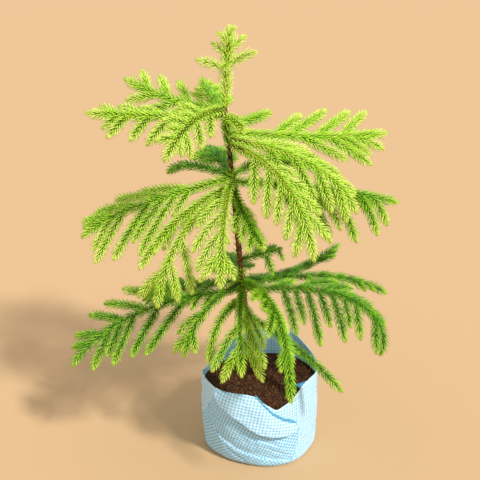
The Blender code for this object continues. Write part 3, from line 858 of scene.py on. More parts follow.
def makeNeedle():
    # One three-sided awl along +Z that bends from +X back towards -X
    profile = [(0.0, 0.75), (0.3, 1.0), (0.66, 0.76)]
    steps = 24
    spots = [Vector((0, 0, 0))]
    for i in range(steps):
        angle = math.radians(needleLook["curl"] * (0.5 - (i + 0.5) / steps))
        step = Vector((math.sin(angle), 0, math.cos(angle))) * (needleLook["length"] / steps)
        spots.append(spots[-1] + step)
    shape = Shape()
    rows = []
    for share, wide in profile:
        centre = spots[round(share * steps)]
        across = Vector((0, 1, 0)) * (needleLook["width"] / 2 * wide)
        through = Vector((1, 0, 0)) * (needleLook["thickness"] / 2 * wide)
        rows.append([centre + through, centre + across - through * 0.6, centre - across - through * 0.6])
    start = shape.skin(rows)
    shape.face((start + 2, start + 1, start))
    shape.cap(start + 3 * (len(rows) - 1), 3, spots[-1])
    needle = shape.toObject("needle", [])
    # Each face gets its step of painted light: paler on the outer part for light on the tip, darker on the
    # inner part for shade at the base
    inner = needleLook["outerFrom"] * spots[-1].z * mm
    shades = needleLook["paintedBaseShade"], needleLook["paintedTipLight"]
    outer = [shades[face.center.z > inner] for face in needle.data.polygons]
    needle.data.attributes.new("outer", "FLOAT", "FACE").data.foreach_set("value", outer)
    return needle


def readNamed(tree, name, kind="FLOAT"):
    return putNode(tree, "GeometryNodeInputNamedAttribute", {"Name": name}, data_type=kind)


def storeNamed(tree, geometry, name, value, kind="FLOAT", domain="POINT"):
    inputs = {"Geometry": geometry, "Name": name, "Value": value}
    return putNode(tree, "GeometryNodeStoreNamedAttribute", inputs, data_type=kind, domain=domain)


def makeNeedleTree():
    # Needles in a spiral round every line, closer and further forward at its tip
    inputs = {
        "Lines": "Geometry", "Needle": "Object", "Pitch": 0.001, "Tip Pitch": 0.001, "Tip Run": 0.005,
        "Turn": 2.4, "Lean": 0.9, "Tip Lean": 0.2, "Lean Run": 0.01, "Jitter": 0.1, "Tip Shrink": 0.5,
        "Shrink Run": 0.008, "Pale Run": 0.02, "Pale Step": 1.0, "Dither": 0.5, "Seed": 1,
    }
    tree, given, result = newGroup("needleSpiral", "GeometryNodeTree", inputs, {"Needles": "Geometry"})
    lines = putNode(tree, "GeometryNodeMeshToCurve", {"Mesh": given["Lines"]})
    whole = putNode(tree, "GeometryNodeSplineLength").outputs["Length"]
    run = putNode(tree, "GeometryNodeSplineParameter").outputs["Length"]
    toTip = calc(tree, "SUBTRACT", whole, run)
    # The tip's own needles stand on the last stretch of each line
    stretch = {"Curve": lines, "Start_001": calc(tree, "SUBTRACT", whole, given["Tip Run"]), "End_001": whole}
    tips = putNode(tree, "GeometryNodeTrimCurve", stretch, mode="LENGTH")
    tangent = putNode(tree, "GeometryNodeInputTangent")
    joined = tree.nodes.new("GeometryNodeJoinGeometry")
    for curve, pitch in ((lines, given["Pitch"]), (tips, given["Tip Pitch"])):
        spots = putNode(tree, "GeometryNodeResampleCurve", {"Curve": curve, "Length": pitch}, mode="LENGTH")
        aimed = storeNamed(tree, storeNamed(tree, spots, "toTip", toTip), "ahead", tangent, "FLOAT_VECTOR")
        fillSocket(tree, joined.inputs["Geometry"], aimed)
    points = putNode(tree, "GeometryNodeCurveToPoints", {"Curve": joined}, mode="EVALUATED")

    tip, size, tint = (readNamed(tree, name) for name in ("toTip", "size", "tint"))
    number = putNode(tree, "GeometryNodeInputIndex")

    def chance(low, high, salt):
        inputs = {"ID": number, "Seed": calc(tree, "ADD", given["Seed"], float(salt)), 2: low, 3: high}
        return putNode(tree, "FunctionNodeRandomValue", inputs, data_type="FLOAT").outputs[1]

    def turnBy(rotation, **angles):
        euler = putNode(tree, "ShaderNodeCombineXYZ", angles)
        spun = putNode(tree, "FunctionNodeEulerToRotation", {"Euler": euler})
        inputs = {"Rotation": rotation, "Rotate By": spun}
        return putNode(tree, "FunctionNodeRotateRotation", inputs, rotation_space="LOCAL")

    ahead = readNamed(tree, "ahead", "FLOAT_VECTOR")
    upright = putNode(tree, "FunctionNodeAlignRotationToVector", {"Vector": ahead}, axis="Z")
    back = calc(tree, "MULTIPLY", given["Jitter"], -1.0)
    spiral = calc(tree, "MULTIPLY_ADD", number, given["Turn"], chance(back, given["Jitter"], 1))
    lean = remap(tree, tip, (0.0, given["Lean Run"]), (given["Tip Lean"], given["Lean"]), smooth=True)
    tilt = calc(tree, "ADD", lean, chance(back, given["Jitter"], 2))
    shrink = remap(tree, tip, (0.0, given["Shrink Run"]), (given["Tip Shrink"], 1.0))
    scale = calc(tree, "MULTIPLY", calc(tree, "MULTIPLY", size, shrink), chance(0.9, 1.08, 3))
    needle = putNode(tree, "GeometryNodeObjectInfo", {"Object": given["Needle"]}).outputs["Geometry"]
    rotation = turnBy(turnBy(upright, Z=spiral), Y=tilt)
    inputs = {"Points": points, "Instance": needle, "Rotation": rotation, "Scale": scale}
    placed = putNode(tree, "GeometryNodeInstanceOnPoints", inputs)

    # Each needle's shade: its line's tint, paler near the tip, give or take the dither
    paler = remap(tree, tip, (0.0, given["Pale Run"]), (given["Pale Step"], 0.0))
    less = calc(tree, "MULTIPLY", given["Dither"], -1.0)
    dithered = calc(tree, "ADD", calc(tree, "ADD", tint, paler), chance(less, given["Dither"], 4))
    shaded = storeNamed(tree, placed, "shade", dithered, domain="INSTANCE")
    last = putNode(tree, "GeometryNodeRealizeInstances", {"Geometry": shaded})
    # Its outer part is paler still, painted light on the tip, and its inner part darker, painted shade at the
    # base
    both = calc(tree, "ROUND", calc(tree, "ADD", readNamed(tree, "shade"), readNamed(tree, "outer")))
    inputs = {"Value": both, "Min": 0.0, "Max": float(len(needleMaterials) - 1)}
    kept = putNode(tree, "ShaderNodeClamp", inputs)
    for step, item in enumerate(needleMaterials):
        inputs = {"A": kept, "B": float(step), "Epsilon": 0.4}
        chosen = putNode(tree, "FunctionNodeCompare", inputs, data_type="FLOAT", operation="EQUAL")
        inputs = {"Geometry": last, "Selection": chosen, "Material": item}
        last = putNode(tree, "GeometryNodeSetMaterial", inputs)
    fillSocket(tree, result["Needles"], last)
    return tree


needleShape = makeNeedle()
needleTree = makeNeedleTree()


# Needles along a path from its start mark, growing from rootSize to size within ramp
Run = namedtuple("Run", "path start rootSize ramp size tint")


def linesObject(name, runs):
    # Bare lines, each point with its needle size and its tint
    points, edges, sizes, tints = [], [], [], []
    for path, start, rootSize, ramp, size, tint in runs:
        run = path.length - start - needleLook["pastEnd"]
        count = max(3, round(run / needleLook["lineStep"]))
        for i in range(count + 1):
            mark = run * i / count
            if i:
                edges.append((len(points) - 1, len(points)))
            points.append(path.at(start + mark) * mm)
            sizes.append(size * min(1, rootSize + (1 - rootSize) * mark / ramp))
            tints.append(tint)
    mesh = bpy.data.meshes.new(name)
    mesh.from_pydata(points, edges, [])
    mesh.attributes.new("size", "FLOAT", "POINT").data.foreach_set("value", sizes)
    mesh.attributes.new("tint", "FLOAT", "POINT").data.foreach_set("value", tints)
    return addObject(name, mesh)


def growNodes(piece, tree, values):
    # Runs a node tree on a piece with these inputs, and keeps the plain mesh it makes
    modifier = piece.modifiers.new(tree.name, "NODES")
    modifier.node_group = tree
    for item in tree.interface.items_tree:
        if item.item_type == "SOCKET" and item.in_out == "INPUT" and item.name in values:
            modifier[item.identifier] = values[item.name]
    keepResult(piece)
    attributes = piece.data.attributes
    for name in ("toTip", "ahead", "size", "tint", "shade", "outer"):
        if name in attributes:
            attributes.remove(attributes[name])


def needleValues(seed, pitch):
    values = {label: length * mm for label, length in (needleLengths | {"Pitch": pitch}).items()}
    values |= {label: math.radians(angle) for label, angle in needleAngles.items()}
    return values | needleNumbers | {"Needle": needleShape, "Seed": needleLook["seed"] + seed}


def buildNeedles(name, runs, seed, slot, replaced, pitch=needleLengths["Pitch"]):
    piece = linesObject("needles_of_" + name, runs)
    growNodes(piece, needleTree, needleValues(seed, pitch))
    return finishPiece(piece, slot, *replaced)


# Size of the needles by tier
tierNeedles = {"upper": 1.0, "crown": 1.0, "middle": 0.95, "lower": 0.9, "lowest": 0.9}


def buildBoughs():
    triangles = 0
    rng = random.Random(boughLook["fineSeed"])
    for seed, bough in enumerate(boughs):
        shoots = crownPlan[bough.name]
        # The bough's shade is partly its growth's age and partly painted light and shade for where it stands
        # in the crown
        fresh = bough.fresh
        mass = "needles_" + bough.name
        nodes = ["limb_" + bough.name, mass] if bough.bare else [mass]
        buildTwigs(bough.name, shoots, fresh, nodes)
        tier = bough.name.split("_")[0]
        size = tierNeedles[tier]
        tint = fresh + needleLook["stemTint"]
        runs = [Run(shoots[0], rootMark(bough, 1), rootSize=1, ramp=1, size=size, tint=tint)]
        for path in shoots[1:]:
            tint = fresh + rng.uniform(*needleLook["tints"])
            runs.append(Run(path, size=size, tint=tint, **needleLook["sideRun"]))
        slot = "fresh_needles" if tier in ("upper", "crown") else "old_needles"
        piece = buildNeedles(bough.name, runs, seed, slot, [mass])
        triangles += sum(len(face.vertices) - 2 for face in piece.data.polygons)
    print("boughs grown:", len(boughs), "with", triangles, "triangles of needles")


leaderLook = {
    # Height above the leader's foot, azimuth, rise and length of each side shoot
    "shoots": [
        (42, 178, 28, 38), (46, -8, 36, 40), (52, 82, 30, 34), (44, -96, 24, 28), (58, 150, 42, 26),
        (62, 20, 46, 30), (72, 200, 52, 20),
    ],
    "fineShoots": [(66, -70, 50, 20), (74, 80, 54, 17), (80, -20, 60, 15)],
    "startsBelow": 6,  # its stem begins this far down in the trunk
    "bend": 4,
    "steps": 6,
    "fresh": 3.7,
    "stemRun": {"start": 4, "rootSize": 0.8, "ramp": 12, "size": 1.2},
    "sideRun": {"start": 1.5, "rootSize": 0.75, "ramp": 8, "size": 1.0},
    "sideTint": 0.2,
    "pitch": 0.52,  # its needles stand further apart and let the stem show
    "barkLength": 7,
}


def buildLeader():
    look = leaderLook
    stem = Path([trunkPath.at(trunkPath.length - look["startsBelow"])] + leaderPath.points)
    shoots = [stem]
    for above, azimuth, rise, length in look["shoots"] + look["fineShoots"]:
        at = leaderPath.at(above)
        points = [at]
        for i in range(look["steps"]):
            at = at + heading(azimuth, rise - look["bend"] * i) * (length / look["steps"])
            points.append(at)
        shoots.append(Path(points))
    fresh = look["fresh"]
    buildTwigs("leader", shoots, fresh, ["needles_leader"], look["barkLength"])
    runs = [Run(stem, tint=fresh + needleLook["stemTint"], **look["stemRun"])]
    runs += [Run(path, tint=fresh + look["sideTint"], **look["sideRun"]) for path in shoots[1:]]
    buildNeedles("leader", runs, len(boughs), "fresh_needles", ["needles_leader"], look["pitch"])
    print("leader grown with", len(shoots) - 1, "shoots")


# Trunk


def buildTrunk():
    look = trunkLook
    bark = fleckedMaterial(
        "trunkBark", 260.0, (0.38, tone(62, 30, 18)), (0.62, tone(142, 88, 54)), 0.82, 0.2,
        (900.0, 0.7, 0.0006, (1, 1, 0.45)),
    )
    path = Path([trunkPath.at(0) - up * look["sunk"]] + trunkPath.points)
    foot = look["stops"][0][1]

    def radiusAt(mark):
        return trunkRadius(max(path.at(mark).z, foot))

    def relief(mark, angle, spot):
        flare = max(0.0, 1 - (spot.z - foot) / look["flareHeight"])
        height, turn = look["flareLobes"]
        lobes = radiusAt(mark) * height * flare * math.cos(3 * angle + turn)
        plates, cracks = (
            noise.noise(Vector((spot.x * across, spot.y * across, spot.z * along)))
            for across, along in (look["plates"], look["cracks"])
        )
        # Scars stand in a slow spiral, a row for every few millimetres
        around, twist, rows = look["scarRows"]
        scar = math.cos(around * angle + spot.z * twist) * math.cos(spot.z * rows)
        return lobes + look["relief"] * (plates + 0.5 * cracks) + look["scars"] * max(0.0, scar) ** 3

    shape = Shape()
    sweep(shape, path, radiusAt, look["sides"], look["step"], lambda mark: 0, relief)
    finishPiece(shape.toObject("trunk_bark", [bark]), "bark", "trunk")
    # Old needles stay on the stem, few, dark with age and painted darker still, painted shade for the shade
    # inside the crown, and more of them where boughs leave it
    runs = [Run(trunkPath, **look["needles"])]
    for low, high in look["whorls"]:
        for row in range(look["whorlRows"]):
            heights = range(low + row, high + row, look["whorlStep"])
            runs.append(Run(Path([trunkMiddle(height) for height in heights]), **look["whorlNeedles"]))
    buildNeedles("trunk", runs, len(boughs) + 1, "old_needles", ["trunk"], look["needlePitch"])
    print("trunk built")


# Soil

def soilHeight(azimuth, share):
    # Share is 0 in the middle and 1 at the bag's wall
    front = max(0.0, math.cos(math.radians(azimuth - soilLook["dipAt"]))) ** 3
    mound = soilLook["mound"] * (1 - min(share / soilLook["moundReach"], 1)) ** soilLook["moundFall"]
    return soilLook["top"] + mound - soilLook["frontDip"] * front * share**2


def soilMaterial(name, dark, light, split):
    grain = (1500.0, 1.0, 0.0012)
    return fleckedMaterial(name, 420.0, (split, dark), (split + 0.24, light), 0.95, 0.12, grain)


def makeLumpTree():
    # Crumbs of many sizes scattered over the faces, most of them small
    inputs = {"Ground": "Geometry", "Crumb": "Object", "Density": 1000.0, "Size": 0.001, "Seed": 1}
    tree, given, result = newGroup("soilCrumbs", "GeometryNodeTree", inputs, {"Crumbs": "Geometry"})
    inputs = {"Mesh": given["Ground"], "Density": given["Density"], "Seed": given["Seed"]}
    spots = putNode(tree, "GeometryNodeDistributePointsOnFaces", inputs)
    draw = {"ID": putNode(tree, "GeometryNodeInputIndex"), "Seed": given["Seed"]}
    turns = draw | {0: (0, 0, 0), 1: (tau, tau, tau)}
    spin = putNode(tree, "FunctionNodeRandomValue", turns, data_type="FLOAT_VECTOR")
    share = putNode(tree, "FunctionNodeRandomValue", draw, data_type="FLOAT").outputs[1]
    least, more = soilLook["lumpSizes"]
    size = calc(tree, "MULTIPLY_ADD", calc(tree, "POWER", share, 3.0), more, least)
    crumb = putNode(tree, "GeometryNodeObjectInfo", {"Object": given["Crumb"]}).outputs["Geometry"]
    scale = calc(tree, "MULTIPLY", size, given["Size"])
    inputs = {"Points": spots, "Instance": crumb, "Rotation": spin, "Scale": scale}
    placed = putNode(tree, "GeometryNodeInstanceOnPoints", inputs)
    real = putNode(tree, "GeometryNodeRealizeInstances", {"Geometry": placed})
    look = soilMaterial("soilCrumb", tone(74, 47, 30), tone(146, 104, 72), 0.46)
    painted = putNode(tree, "GeometryNodeSetMaterial", {"Geometry": real, "Material": look})
    fillSocket(tree, result["Crumbs"], painted)
    return tree


crumbLook = {
    "sides": 6,
    "levels": ((-0.55, 0.7), (0.05, 1.0), (0.6, 0.62)),  # shares of its height and of its reach
    "height": 420,
    "reach": 500,
    "ends": 400,
    "reaches": (0.75, 1.15),
    "lifts": (-60, 60),
}


def makeCrumb():
    # One rough lump about a metre across, to be scaled down
    look = crumbLook
    shape = Shape()
    rng = random.Random(soilLook["seed"])
    sides = look["sides"]
    rows = []
    for level, wide in look["levels"]:
        row = []
        for i in range(sides):
            reach = wide * rng.uniform(*look["reaches"]) * look["reach"]
            lift = level * look["height"] + rng.uniform(*look["lifts"])
            row.append(heading(360 * i / sides, 0) * reach + up * lift)
        rows.append(row)
    start = shape.skin(rows)
    shape.cap(start, sides, up * -look["ends"], upward=False)
    shape.cap(start + sides * (len(rows) - 1), sides, up * look["ends"])
    return shape.toObject("crumb", [])


def buildSoil():
    look = soilLook
    count = look["columns"]
    growth, least = look["edgeRough"]
    rows = []
    for ring in range(look["rings"] + 1):
        share = 1 - ring / (look["rings"] + look["middle"])
        row = []
        for i in range(count):
            azimuth = -180 + 360 * i / count
            base = soilHeight(azimuth, share)
            wall = outerPoint(azimuth, base, look["embed"] - bagLook["wall"]).xy.length
            spot = heading(azimuth, 0) * (wall * share)
            rough = sum(depth * noise.noise(spot * fine) for depth, fine in look["rough"])
            row.append(spot + up * (base + rough * min(1, (1 - share) * growth + least)))
        rows.append(row)
    shape = Shape()
    skirt = [Vector((*(p.xy * look["skirt"]), p.z - look["skirtDrop"])) for p in rows[0]]
    start = shape.skin([skirt] + rows)
    shape.cap(start, count, up * (look["top"] - look["depth"]), upward=False)
    shape.cap(start + count * len(rows), count, up * rows[-1][0].z)
    ground = soilMaterial("pottingSoil", tone(48, 28, 18), tone(104, 70, 46), 0.42)
    soil = finishPiece(shape.toObject("soil_top", [ground]), "soil", "soil")

    inner = soil.data.polygons[count * (1 + look["edgeRings"]):]
    top = [face for face in inner if face.normal.z > look["crumbSlope"]]
    scatter = bpy.data.meshes.new("soil_crumbs")
    scatter.from_pydata([v.co.copy() for v in soil.data.vertices], [], [tuple(face.vertices) for face in top])
    crumbs = addObject("soil_crumbs", scatter)
    density = look["lumps"] / sum(face.area for face in top)
    crumb = makeCrumb()
    growNodes(crumbs, makeLumpTree(), {
        "Crumb": crumb, "Density": density, "Size": look["lumpSize"] * mm, "Seed": look["seed"],
    })
    bpy.data.objects.remove(crumb)
    finishPiece(crumbs, "soil", "soil")
    print("soil filled in, with", len(crumbs.data.polygons), "faces of crumbs")


# Bag

# Creases pressed into the wall: azimuth and height of both ends, depth and half width
creases = [
    (-137, 96, -159, 52, 1.3, 5.0),
    (-150, 74, -128, 52, 1.0, 4.0),
    (-106, 50, -70, 33, 1.3, 4.0),
    (-128, 22, -104, 6, 1.2, 3.5),
    (-82, 30, -58, 14, 1.0, 3.5),
    (-50, 57, -44, 37, 2.2, 2.6),
    (-44, 37, -48, 18, 1.8, 3.0),
    (-48, 18, -54, 2, 2.0, 3.0),
    (-33, 92, -30, 40, 1.0, 6.0),
    (-18, 96, -6, 58, 1.0, 6.0),
    (22, 100, 34, 40, 1.6, 5.0),
    (58, 118, 52, 60, 1.8, 5.0),
    (62, 52, 104, 22, 1.4, 4.0),
    (96, 112, 110, 58, 1.6, 5.0),
    (128, 100, 140, 44, 1.5, 5.0),
    (120, 36, 168, 16, 1.2, 3.5),
    (166, 88, 178, 48, 1.4, 4.5),
    (8, 26, 60, 10, 1.1, 3.5),
]
# Where one layer lies over another: the line by azimuth and the side that is the upper layer.
# That side stands proud of the other one, which sinks in beside it
pleats = [
    {
        "line": {-172: 66, -159: 52, -146: 45, -133: 33, -116: 23, -100: 18, -87: 14, -70: 10, -54: 4},
        "upperSide": -1, "from": -174, "to": -50, "lift": 0.9, "fall": 1.8, "soft": 2.5, "fade": 13,
    },
    {
        "line": {-136: 103, -128: 88, -109: 71, -96: 57, -80: 49, -62: 47, -51: 53},
        "upperSide": 1, "from": -137, "to": -47, "lift": 0.4, "fall": 3.0, "soft": 1.5, "fade": 13,
    },
]
pleatEnds = (12, 8)  # a pleat comes up and runs out over these turns
weaveLook = {
    "leftEdge": {0: -176, 51: -165, 97: -135},
    "rightEdge": {2: -54, 18: -48, 37: -44, 57: -50},
    "middleTurn": 24,
    "lowerTurn": -33,
}
flapLook = {
    "upper": {-136: 104, -104: 104, -94: 102, -89: 94, -78: 77, -66: 66, -51: 57},
    "lower": {-136: 103, -128: 88, -109: 71, -96: 57, -80: 49, -62: 47, -51: 53},
    "from": -135,
    "corner": -94,  # from here its upper edge leaves the rim
    "to": -51,
    "columns": 130,
    "rows": 50,
    "parts": (0.12, 0.24, 0.94),  # shares of a column where its edge, its front and its hem begin
    "thickness": 0.7,
    "rimLift": 0.5,
    "edgeLift": 2.4,
    "endLift": 0.5,
    "lowerLift": 5.2,
    "cornerEase": 9,
    "wedge": 9,  # it comes off the wall within this width
    "bulge": 0.8,
    "inside": 7,
    "insideGap": 0.2,  # between the flap and the wall's inner face
    "underLift": 0.35,
    "hemLift": 0.15,
    "hemRoll": 0.4,
    "edgeRoll": 0.5,
    "under": 5,  # width of the strip that shows below its turned edge
    "hem": 2.5,
    "turn": 10,  # how far its check is turned from the wall's
}


def unrolled(azimuth, height):
    return Vector((math.radians(azimuth) * bagLook["clothRadius"], height))


def toSegment(spot, start, end):
    # Distance from a flat spot to a segment, and the share along it
    run = end - start
    share = limit((spot - start).dot(run) / run.length_squared)
    return (spot - start - run * share).length, share


def easedKeys(keys, azimuth, spread=1.8):
    # Straight lines between the keys, eased over a few degrees and closed round the circle
    return sum(alongKeys(keys, turned(azimuth + spread * i)) for i in range(-2, 3)) / 5


creaseShape = {
    "least": 0.25,  # depth at a crease's ends, as a share of its middle's
    "end": 0.04,
    "furrow": 0.45,  # widths of its furrow and of the ridge beside it, and the ridge's height
    "ridge": 0.8,
    "ridgeHeight": 0.5,
}


def creaseRelief(away, share, depth, width):
    form = creaseShape
    middle = math.sin(math.pi * limit(share, form["end"], 1 - form["end"]))
    strength = depth * (form["least"] + (1 - form["least"]) * middle)
    furrow = strength * math.exp(-((away / (form["furrow"] * width)) ** 2))
    ridge = form["ridgeHeight"] * strength * math.exp(-(((away - width) / (form["ridge"] * width)) ** 2))
    return ridge - furrow


def wallRelief(azimuth, height):
    azimuth = turned(azimuth)
    spot = unrolled(azimuth, height)
    offset = 0.0
    for fromAzimuth, fromHeight, toAzimuth, toHeight, depth, width in creases:
        away, share = toSegment(spot, unrolled(fromAzimuth, fromHeight), unrolled(toAzimuth, toHeight))
        if away < 4 * width:
            offset += creaseRelief(away, share, depth, width)
    # Broad soft swells, and small crumples that a handled cloth keeps
    for depth, across, upwards, layer in bagLook["crumples"]:
        offset += depth * noise.noise(Vector((spot.x * across, spot.y * upwards, layer)))
    return offset + sum(pleatRelief(pleat, azimuth, height) for pleat in pleats)


def pleatRelief(pleat, azimuth, height):
    ends = ease((azimuth - pleat["from"]) / pleatEnds[0]) * ease((pleat["to"] - azimuth) / pleatEnds[1])
    inside = (height - alongKeys(pleat["line"], azimuth)) * pleat["upperSide"]
    if inside < 0:
        return -pleat["fall"] * ends * math.exp(inside / pleat["fade"]) * ease(-inside / pleat["soft"])
    return pleat["lift"] * ends * math.exp(-inside / pleat["fade"])


def outerPoint(azimuth, height, lift=0.0):
    fade = limit(height / bagLook["calmFoot"])
    wall = bagRadius(azimuth, height, lambda keys: easedKeys(keys, azimuth, 3))
    return heading(azimuth, 0) * (wall + wallRelief(azimuth, height) * fade + lift) + up * height


def softRim(azimuth):
    # The source's rim with its corners eased and a slight waver
    height, count = bagLook["waver"]
    return easedKeys(bagLook["rim"], azimuth, 1.2) + height * math.sin(math.radians(azimuth * count))


def wallWeave(azimuth, height):
    # The turn of the check at a place
    look = weaveLook
    azimuth = turned(azimuth)
    if not alongKeys(look["leftEdge"], height) < azimuth < alongKeys(look["rightEdge"], height):
        return 0.0
    if azimuth < flapLook["to"] and height > alongKeys(flapLook["lower"], azimuth) + 4:
        return 0.0
    return look["lowerTurn"] if height < alongKeys(pleats[0]["line"], azimuth) else look["middleTurn"]


def flatPlace(azimuth, height, turn):
    # A place on the unrolled cloth, in millimetres, turned by some degrees
    x, y = unrolled(azimuth, height)
    angle = math.radians(turn)
    return (x * math.cos(angle) - y * math.sin(angle), x * math.sin(angle) + y * math.cos(angle))


def clothMaterial(name, pale, middle, deep, contrast=1.0):
    made, tree, shader = newMaterial(name, 0.88, 0.15)
    check = putGroup(tree, checkGroup, {"Pitch": bagLook["checkPitch"], "Thread": bagLook["threadPitch"]})
    ramp = putRamp(tree, check.outputs["Check"], (0.0, pale), (0.5, middle), (1.0, deep))
    worn = putGroup(tree, mottleGroup, {"Colour": ramp, "Scale": 38.0, "Amount": 0.16})
    fillSocket(tree, shader.inputs["Base Color"], worn)
    shader.inputs["Sheen Weight"].default_value = 0.12
    addBump(tree, shader, check.outputs["Height"], 0.35 * contrast, 0.0002)
    return made


def plainCloth(name, colour, scale, amount):
    return mottledMaterial(name, colour, scale, amount, 0.88, 0.15, (2200.0, 0.4, 0.0003))


def buildBag():
    look = bagLook
    count = look["columns"]
    azimuths = [look["seamAt"] + 360 * i / count for i in range(count)]
    rims = [softRim(a) for a in azimuths]
    heights = [[rim * level / look["rows"] for rim in rims] for level in range(look["rows"] + 1)]
    rows = [[outerPoint(a, h) for a, h in zip(azimuths, level)] for level in heights]
    outerRows = len(rows)
    # The folded rim rounds over from the outside to the inside
    half = look["wall"] / 2
    for i in range(1, look["rimSteps"]):
        angle = math.pi * i / look["rimSteps"]
        row = []
        for azimuth, rim in zip(azimuths, rims):
            inward = heading(azimuth, 0) * (-half * (1 - math.cos(angle)))
            row.append(outerPoint(azimuth, rim) + inward + up * (half * math.sin(angle)))
        rows.append(row)
        heights.append([rim + half * angle for rim in rims])
    for level in range(look["innerRows"] + 1):
        share = 1 - level / look["innerRows"]
        inner = [look["base"] + (rim - look["base"]) * share for rim in rims]
        rows.append([outerPoint(a, h, -look["wall"]) for a, h in zip(azimuths, inner)])
        heights.append(inner)

    cloth, hem, lining, shadedWall = range(4)

    def dress(r, i):
        slot = cloth if r < outerRows - 2 else hem if r < outerRows + 3 else lining
        corners = cornersOf(r, i)
        places = [(look["seamAt"] + 360 * c / count, heights[level][c % count]) for level, c in corners]
        middle = (places[0][0] + places[1][0]) / 2
        turn = wallWeave(middle, places[0][1]) if slot == cloth else 0.0
        # Where the check is turned, below the flap, the wall takes the darker copy of the check: painted
        # shade
        return shadedWall if turn else slot, [flatPlace(a, h, turn) for a, h in places]

    shape = Shape()
    shape.skin(rows, dress=dress)
    shape.cap(0, count, Vector((0, 0, 0)), cloth, upward=False)
    shape.cap(count * (len(rows) - 1), count, up * look["base"], lining)
    check = clothMaterial("checkCloth", tone(222, 246, 255), tone(184, 227, 254), tone(132, 202, 247))
    inside = clothMaterial("liningCloth", tone(190, 224, 240), tone(164, 210, 232), tone(140, 194, 222), 0.7)
    # A darker copy of the check cloth, painted shade on the wall below the flap
    lower = clothMaterial("tuckedCloth", tone(206, 236, 251), tone(162, 212, 241), tone(112, 183, 227))
    edge = plainCloth("hemCloth", tone(200, 230, 246), 90.0, 0.25)
    finishPiece(shape.toObject("bag_body", [check, edge, inside, lower]), "bag", "bag")
    buildFlap(check)
    buildTuck()
    print("bag sewn and folded")


def flapColumn(azimuth):
    # Places down one column of the flap: height, how far it stands off the wall, and its part
    look = flapLook
    edgeFrom, frontFrom, hemFrom = look["parts"]
    upper = alongKeys(look["upper"], azimuth)
    lower = sum(alongKeys(look["lower"], azimuth + turn) for turn in (-3, 0, 3)) / 3
    ends = ease((upper - lower) / look["wedge"])
    off = ease((azimuth - look["corner"]) / look["cornerEase"])
    topLift = look["rimLift"] + (look["edgeLift"] * ends - look["rimLift"]) * off
    lowLift = look["endLift"] + (look["lowerLift"] - look["endLift"]) * ends
    if azimuth < look["corner"]:
        # It comes out of the mouth and over the rim
        name, top, tail = "inside", softRim(azimuth), -look["inside"]
        startLift = -bagLook["wall"] - look["insideGap"]
        over = (topLift - startLift) / 2
    else:
        # Its own edge is turned under
        name, top, tail = "under", upper, look["under"] * ends
        startLift, over = look["underLift"], look["edgeRoll"]
    column = []
    for j in range(look["rows"] + 1):
        part = j / look["rows"]
        if part < edgeFrom:
            column.append((top + tail * (1 - part / edgeFrom), startLift, name))
        elif part < frontFrom:
            angle = math.pi * (part - edgeFrom) / (frontFrom - edgeFrom)
            lift = startLift + (topLift - startLift) * (1 - math.cos(angle)) / 2
            column.append((top + over * math.sin(angle), lift, "front"))
        elif part < hemFrom:
            down = (part - frontFrom) / (hemFrom - frontFrom)
            lift = topLift + (lowLift - topLift) * down**0.8 + look["bulge"] * ends * math.sin(math.pi * down)
            column.append((top + (lower - top) * down, lift, "front"))
        else:
            # The hem turns under at the fold
            turnedIn = (part - hemFrom) / (1 - hemFrom)
            rolled = look["hem"] * turnedIn * ends - look["hemRoll"] * math.sin(math.pi * turnedIn)
            column.append((lower + rolled, lowLift * (1 - turnedIn) + look["hemLift"], "front"))
    return column


def buildFlap(check):
    # The folded-over front: out of the mouth, over the rim and down to its slanting fold
    look = flapLook
    width = (look["to"] - look["from"]) / look["columns"]
    azimuths = [look["from"] + width * i for i in range(look["columns"] + 1)]
    columns = [flapColumn(azimuth) for azimuth in azimuths]
    rows = []
    for azimuth, column in zip(azimuths, columns):
        rows.append([outerPoint(azimuth, height, lift) for height, lift, _ in column])

    def flatAt(i, j):
        height, _, part = columns[i][j]
        if part == "inside":
            height = 2 * softRim(azimuths[i]) - height
        return flatPlace(azimuths[i], height, look["turn"])

    def dress(i, j):
        slot = int(columns[i][j][2] == "under" == columns[i + 1][j][2])
        return slot, [flatAt(*corner) for corner in cornersOf(i, j)]

    shape = Shape()
    shape.skin(rows, closed=False, dress=dress)
    # The turned-under strip takes a darker blue than the lining: painted shade, for the shadowed inside of
    # the fold
    under = clothMaterial("foldCloth", tone(120, 182, 212), tone(96, 164, 200), tone(74, 146, 188), 0.7)
    thicken(shape.toObject("bag_flap", [check, under]), look["thickness"])


def thicken(sheet, thickness):
    # Gives a sheet of cloth its thickness, and makes it a piece of the bag
    solid = sheet.modifiers.new("Solidify", "SOLIDIFY")
    solid.thickness = thickness * mm
    solid.offset = 0
    keepResult(sheet)
    finishPiece(sheet, "bag", "bag")


# A corner of the cloth is tucked in over the soil, at the right of the mouth
tuckLook = {
    "from": -40,
    "to": -17,
    "deepest": 0.35,  # where along its width it reaches furthest in
    "columns": 24,
    "rows": 8,
    "depth": 13,
    "below": 1.2,
    "drop": 4,
    "thickness": 0.9,
}


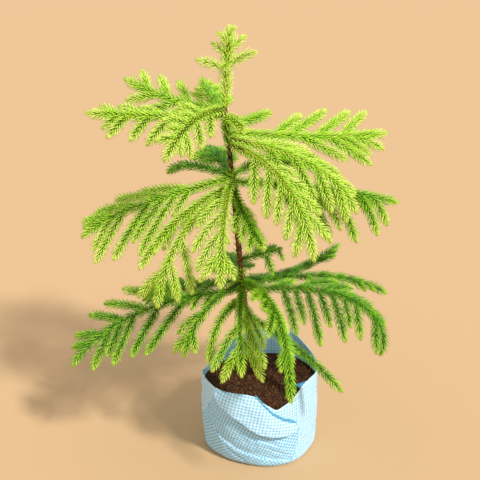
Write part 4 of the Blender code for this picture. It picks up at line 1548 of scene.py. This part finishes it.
def buildTuck():
    look = tuckLook
    rows = []
    for i in range(look["columns"] + 1):
        share = i / look["columns"]
        azimuth = look["from"] + (look["to"] - look["from"]) * share
        depth = look["depth"] * min(1, share / look["deepest"], (1 - share) / (1 - look["deepest"]))
        row = []
        for j in range(look["rows"] + 1):
            inward = j / look["rows"]
            height = softRim(azimuth) - look["below"] - look["drop"] * inward**2 * depth / look["depth"]
            row.append(outerPoint(azimuth, height, -bagLook["wall"] / 2 - depth * inward))
        rows.append(row)
    shape = Shape()
    shape.skin(rows, closed=False)
    blue = plainCloth("tuckedBlue", tone(86, 168, 222), 120.0, 0.3)
    thicken(shape.toObject("bag_tuck", [blue]), look["thickness"])


# Floor, light and camera

stageLook = {
    "floor": tone(208, 172, 130),
    "floorReach": 9000,
    "sky": tone(250, 251, 252),
    "skyStrength": 0.72,
    "sunColour": (1.0, 0.98, 0.94),
    "sunFrom": (0.66, -0.8, 0.98),
    "sunStrength": 3.2,
    "sunSoftness": 7,
}
cameraLook = {"place": (-0.023, -1.043, 0.654), "pitch": 20, "lens": 70, "sensor": 36}


def buildStage():
    look = stageLook
    shape = Shape()
    half = look["floorReach"]
    shape.points = [Vector((x * half, y * half, 0)) for x, y in ((-1, -1), (1, -1), (1, 1), (-1, 1))]
    shape.face((0, 1, 2, 3))
    made, tree, shader = newMaterial("floorPaint", 0.9, 0.1)
    shader.inputs["Base Color"].default_value = look["floor"]
    shape.toObject("floor", [made])

    world = bpy.data.worlds.new("studio")
    world.use_nodes = True
    sky = world.node_tree.nodes["Background"]
    sky.inputs["Color"].default_value = look["sky"]
    sky.inputs["Strength"].default_value = look["skyStrength"]
    bpy.context.scene.world = world
    light = bpy.data.lights.new("studioSun", "SUN")
    light.energy = look["sunStrength"]
    light.color = look["sunColour"]
    light.angle = math.radians(look["sunSoftness"])
    sun = addObject("studioSun", light)
    sun.rotation_euler = Vector(look["sunFrom"]).to_track_quat("Z", "Y").to_euler()

    camera = bpy.data.cameras.new("photoCamera")
    camera.lens = cameraLook["lens"]
    camera.sensor_width = cameraLook["sensor"]
    holder = addObject("photoCamera", camera)
    holder.location = cameraLook["place"]
    holder.rotation_euler = (math.radians(90 - cameraLook["pitch"]), 0, 0)
    bpy.context.scene.camera = holder
    bpy.context.scene.view_settings.view_transform = "Standard"
    print("stage lit")


buildTrunk()
buildLeader()
buildBoughs()
bpy.data.objects.remove(needleShape)
buildSoil()
buildBag()
buildStage()
